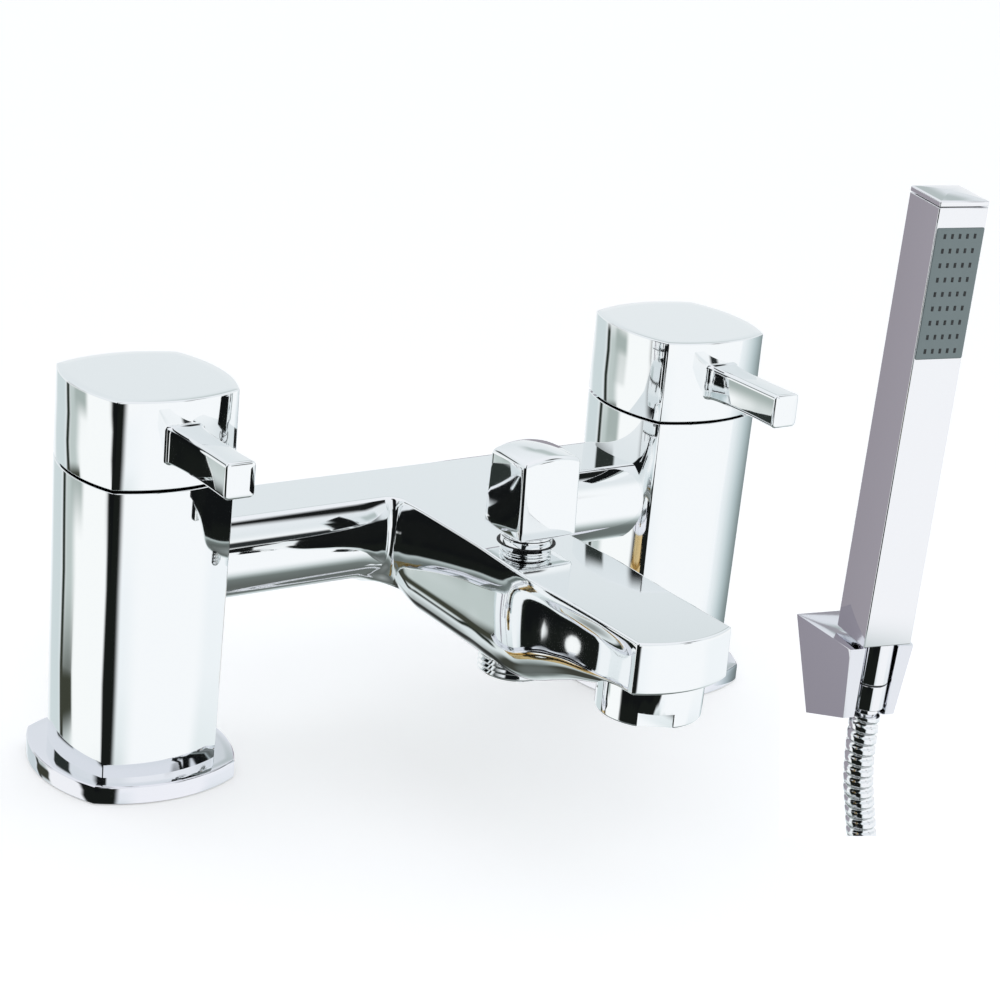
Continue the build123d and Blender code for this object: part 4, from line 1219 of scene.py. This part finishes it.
def soft_box_group():
    """A soft-edged box on the sky: 1 inside it and 0 outside."""
    group, given, result = new_group("ShaderNodeTree", "Soft Box", dict.fromkeys(
        ("Heading", "Height", "Centre Heading", "Centre Height", "Half Width", "Half Height",
         "Softness"), "Float"), {"Mask": "Float"})
    asked = given.outputs
    masks = []
    for where, centre, half in (("Heading", "Centre Heading", "Half Width"),
                                ("Height", "Centre Height", "Half Height")):
        off = math_node(group, "SUBTRACT", asked[where], asked[centre])
        away = math_node(group, "ABSOLUTE", math_node(group, "WRAP", off, 180.0, -180.0))
        inner = math_node(group, "SUBTRACT", asked[half], asked["Softness"])
        outer = math_node(group, "ADD", asked[half], asked["Softness"])
        masks.append(smooth_map(group, away, inner, outer, 1.0, 0.0))
    plug(group, result, [("Mask", math_node(group, "MULTIPLY", *masks))])
    return group


def tone(red, green, blue):
    """A light's colour that the metal shows as these screen values."""
    shares = [value / 255 for value in (red, green, blue)]
    return tuple((share / 12.92 if share <= 0.04045 else ((share + 0.055) / 1.055) ** 2.4) / 0.94
                 for share in shares)


# The sky's plain colour by height in degrees, from the floor up
SKY = [
    (-90, (150, 156, 156)), (-62, (95, 100, 98)), (-53, (112, 120, 118)), (-45, (190, 200, 200)),
    (-33, (226, 233, 235)), (-22, (240, 244, 247)), (-5, (248, 249, 250)), (20, (222, 228, 231)),
    (45, (235, 238, 242)), (90, (240, 240, 245)),
]
# Soft boxes and flags, each over the ones before:
# heading, height, half width, half height, softness, colour
SOFT_BOXES = [
    (25, -12, 32, 30, 8, (246, 248, 250)),
    (-122, -20, 22, 16, 6, (247, 249, 249)),
    (-174, -20, 14, 14, 6, (203, 214, 216)),
    (-148, -20, 7, 11, 5, (188, 198, 196)),
    (-157, -22, 2.6, 12, 1.6, (37, 45, 39)),
    (-150, -26, 10, 2.6, 1.5, (60, 63, 54)),
    (-60, -24, 42, 20, 2.5, (24, 27, 25)),
    (-47, 28, 16, 50, 4, (18, 20, 21)),
    (-80, 6, 23, 22, 4, (18, 20, 21)),
    (-30, 68, 14, 8, 4, (18, 20, 21)),
    (-172, -48, 20, 8, 5, (62, 64, 58)),
    (166, -40, 14, 5, 4, (50, 52, 50)),
    (48, 42, 10, 7, 3, (24, 26, 26)),
    (30, 9, 4, 4.5, 2, (40, 44, 45)),
    (139, 27, 11, 4, 3, (182, 192, 192)),
    (-148, 20, 14, 4.5, 2, (44, 50, 48)),
    (-138, -12, 8, 4, 3, (165, 176, 173)),
    (-33, 7, 9, 17, 1.5, (21, 23, 23)),
]


def make_world():
    """White to the camera; to the metal, a pale studio of soft boxes with dark gaps."""
    world = bpy.data.worlds.new("studio")
    scene.world = world
    world.use_nodes = True
    tree = world.node_tree
    tree.nodes.clear()
    place = node(tree, "ShaderNodeTexCoord").outputs["Generated"]
    apart = node(tree, "ShaderNodeSeparateXYZ", [(0, place)]).outputs
    south = math_node(tree, "MULTIPLY", apart["Y"], -1.0)
    turn = math_node(tree, "ARCTAN2", apart["X"], south)
    heading = math_node(tree, "MULTIPLY", turn, 180 / math.pi)
    height = math_node(tree, "MULTIPLY", math_node(tree, "ARCSINE", apart["Z"]), 180 / math.pi)
    share = math_node(tree, "ADD", math_node(tree, "DIVIDE", height, 180.0), 0.5)
    colour = ramp(tree, share, [((level + 90) / 180, tone(*shade)) for level, shade in SKY])
    soft_box = soft_box_group()
    for centre, level, half_width, half_height, softness, shade in SOFT_BOXES:
        box = node(tree, "ShaderNodeGroup", [
            ("Heading", heading), ("Height", height), ("Centre Heading", centre),
            ("Centre Height", level), ("Half Width", half_width), ("Half Height", half_height),
            ("Softness", softness),
        ], node_tree=soft_box)
        colour = node(tree, "ShaderNodeMix",
                      [("Factor", box.outputs["Mask"]), (6, colour), (7, (*tone(*shade), 1))],
                      data_type="RGBA").outputs[2]
    seen = node(tree, "ShaderNodeLightPath").outputs["Is Camera Ray"]
    studio = node(tree, "ShaderNodeBackground", [("Color", colour)])
    white = node(tree, "ShaderNodeBackground", [("Color", (1, 1, 1, 1))])
    mixed = node(tree, "ShaderNodeMixShader",
                 [("Fac", seen), (1, studio.outputs[0]), (2, white.outputs[0])])
    node(tree, "ShaderNodeOutputWorld", [("Surface", mixed.outputs[0])])


make_world()


def add_flag(name, corner, side, height, shades):
    """A card that only the metal sees, shaded evenly from its first edge to its last."""
    foot, reach, rise = Vector(corner), Vector((*side, 0)), Vector((0, 0, height))
    way = reach * MM
    material, tree, shader = blank_material(name)
    place = node(tree, "ShaderNodeTexCoord").outputs["Object"]
    along = vector_node(tree, "SUBTRACT", place, tuple(foot * MM)).outputs[0]
    share = vector_node(tree, "DOT_PRODUCT", along, tuple(way / way.length_squared))
    last = len(shades) - 1
    colour = ramp(tree, share.outputs["Value"],
                  [(index / last, tone(*shade)) for index, shade in enumerate(shades)])
    plug(tree, shader, [("Base Color", (0, 0, 0, 1)), ("Roughness", 1.0),
                        ("Emission Color", colour), ("Emission Strength", 1.0)])
    flag = sheet(name, (foot, foot + reach, foot + reach + rise, foot + rise), material)
    flag.visible_camera = False
    flag.visible_shadow = False
    flag.visible_diffuse = False


add_flag("flag behind the kit", (135, 200, -215), (150, 62), 350,
         [(158, 154, 162), (146, 142, 150)])
add_flag("flag behind the bracket", (292, 205, -120), (150, 50), 180,
         [(150, 148, 154), (160, 158, 164)])
add_flag("flag at the right", (200, -82, -45), (0, 92), 160,
         [(236, 241, 244), (224, 231, 234), (203, 214, 217), (174, 188, 191), (140, 153, 155),
          (116, 128, 128), (110, 120, 120)])


def add_lamp(name, place, aim, size, power):
    """A square soft lamp that no metal mirrors."""
    data = bpy.data.lights.new(name, "AREA")
    data.size = size
    data.energy = power
    lamp = placed(name, data)
    turn = (Vector(aim) - Vector(place)).to_track_quat("-Z", "Y")
    lamp.matrix_world = Matrix.Translation(place) @ turn.to_matrix().to_4x4()
    lamp.visible_glossy = False


add_lamp("key", (-0.9, -1.1, 1.5), (0, 0, 0.05), 1.2, 6.0)

scene.view_settings.view_transform = "Standard"
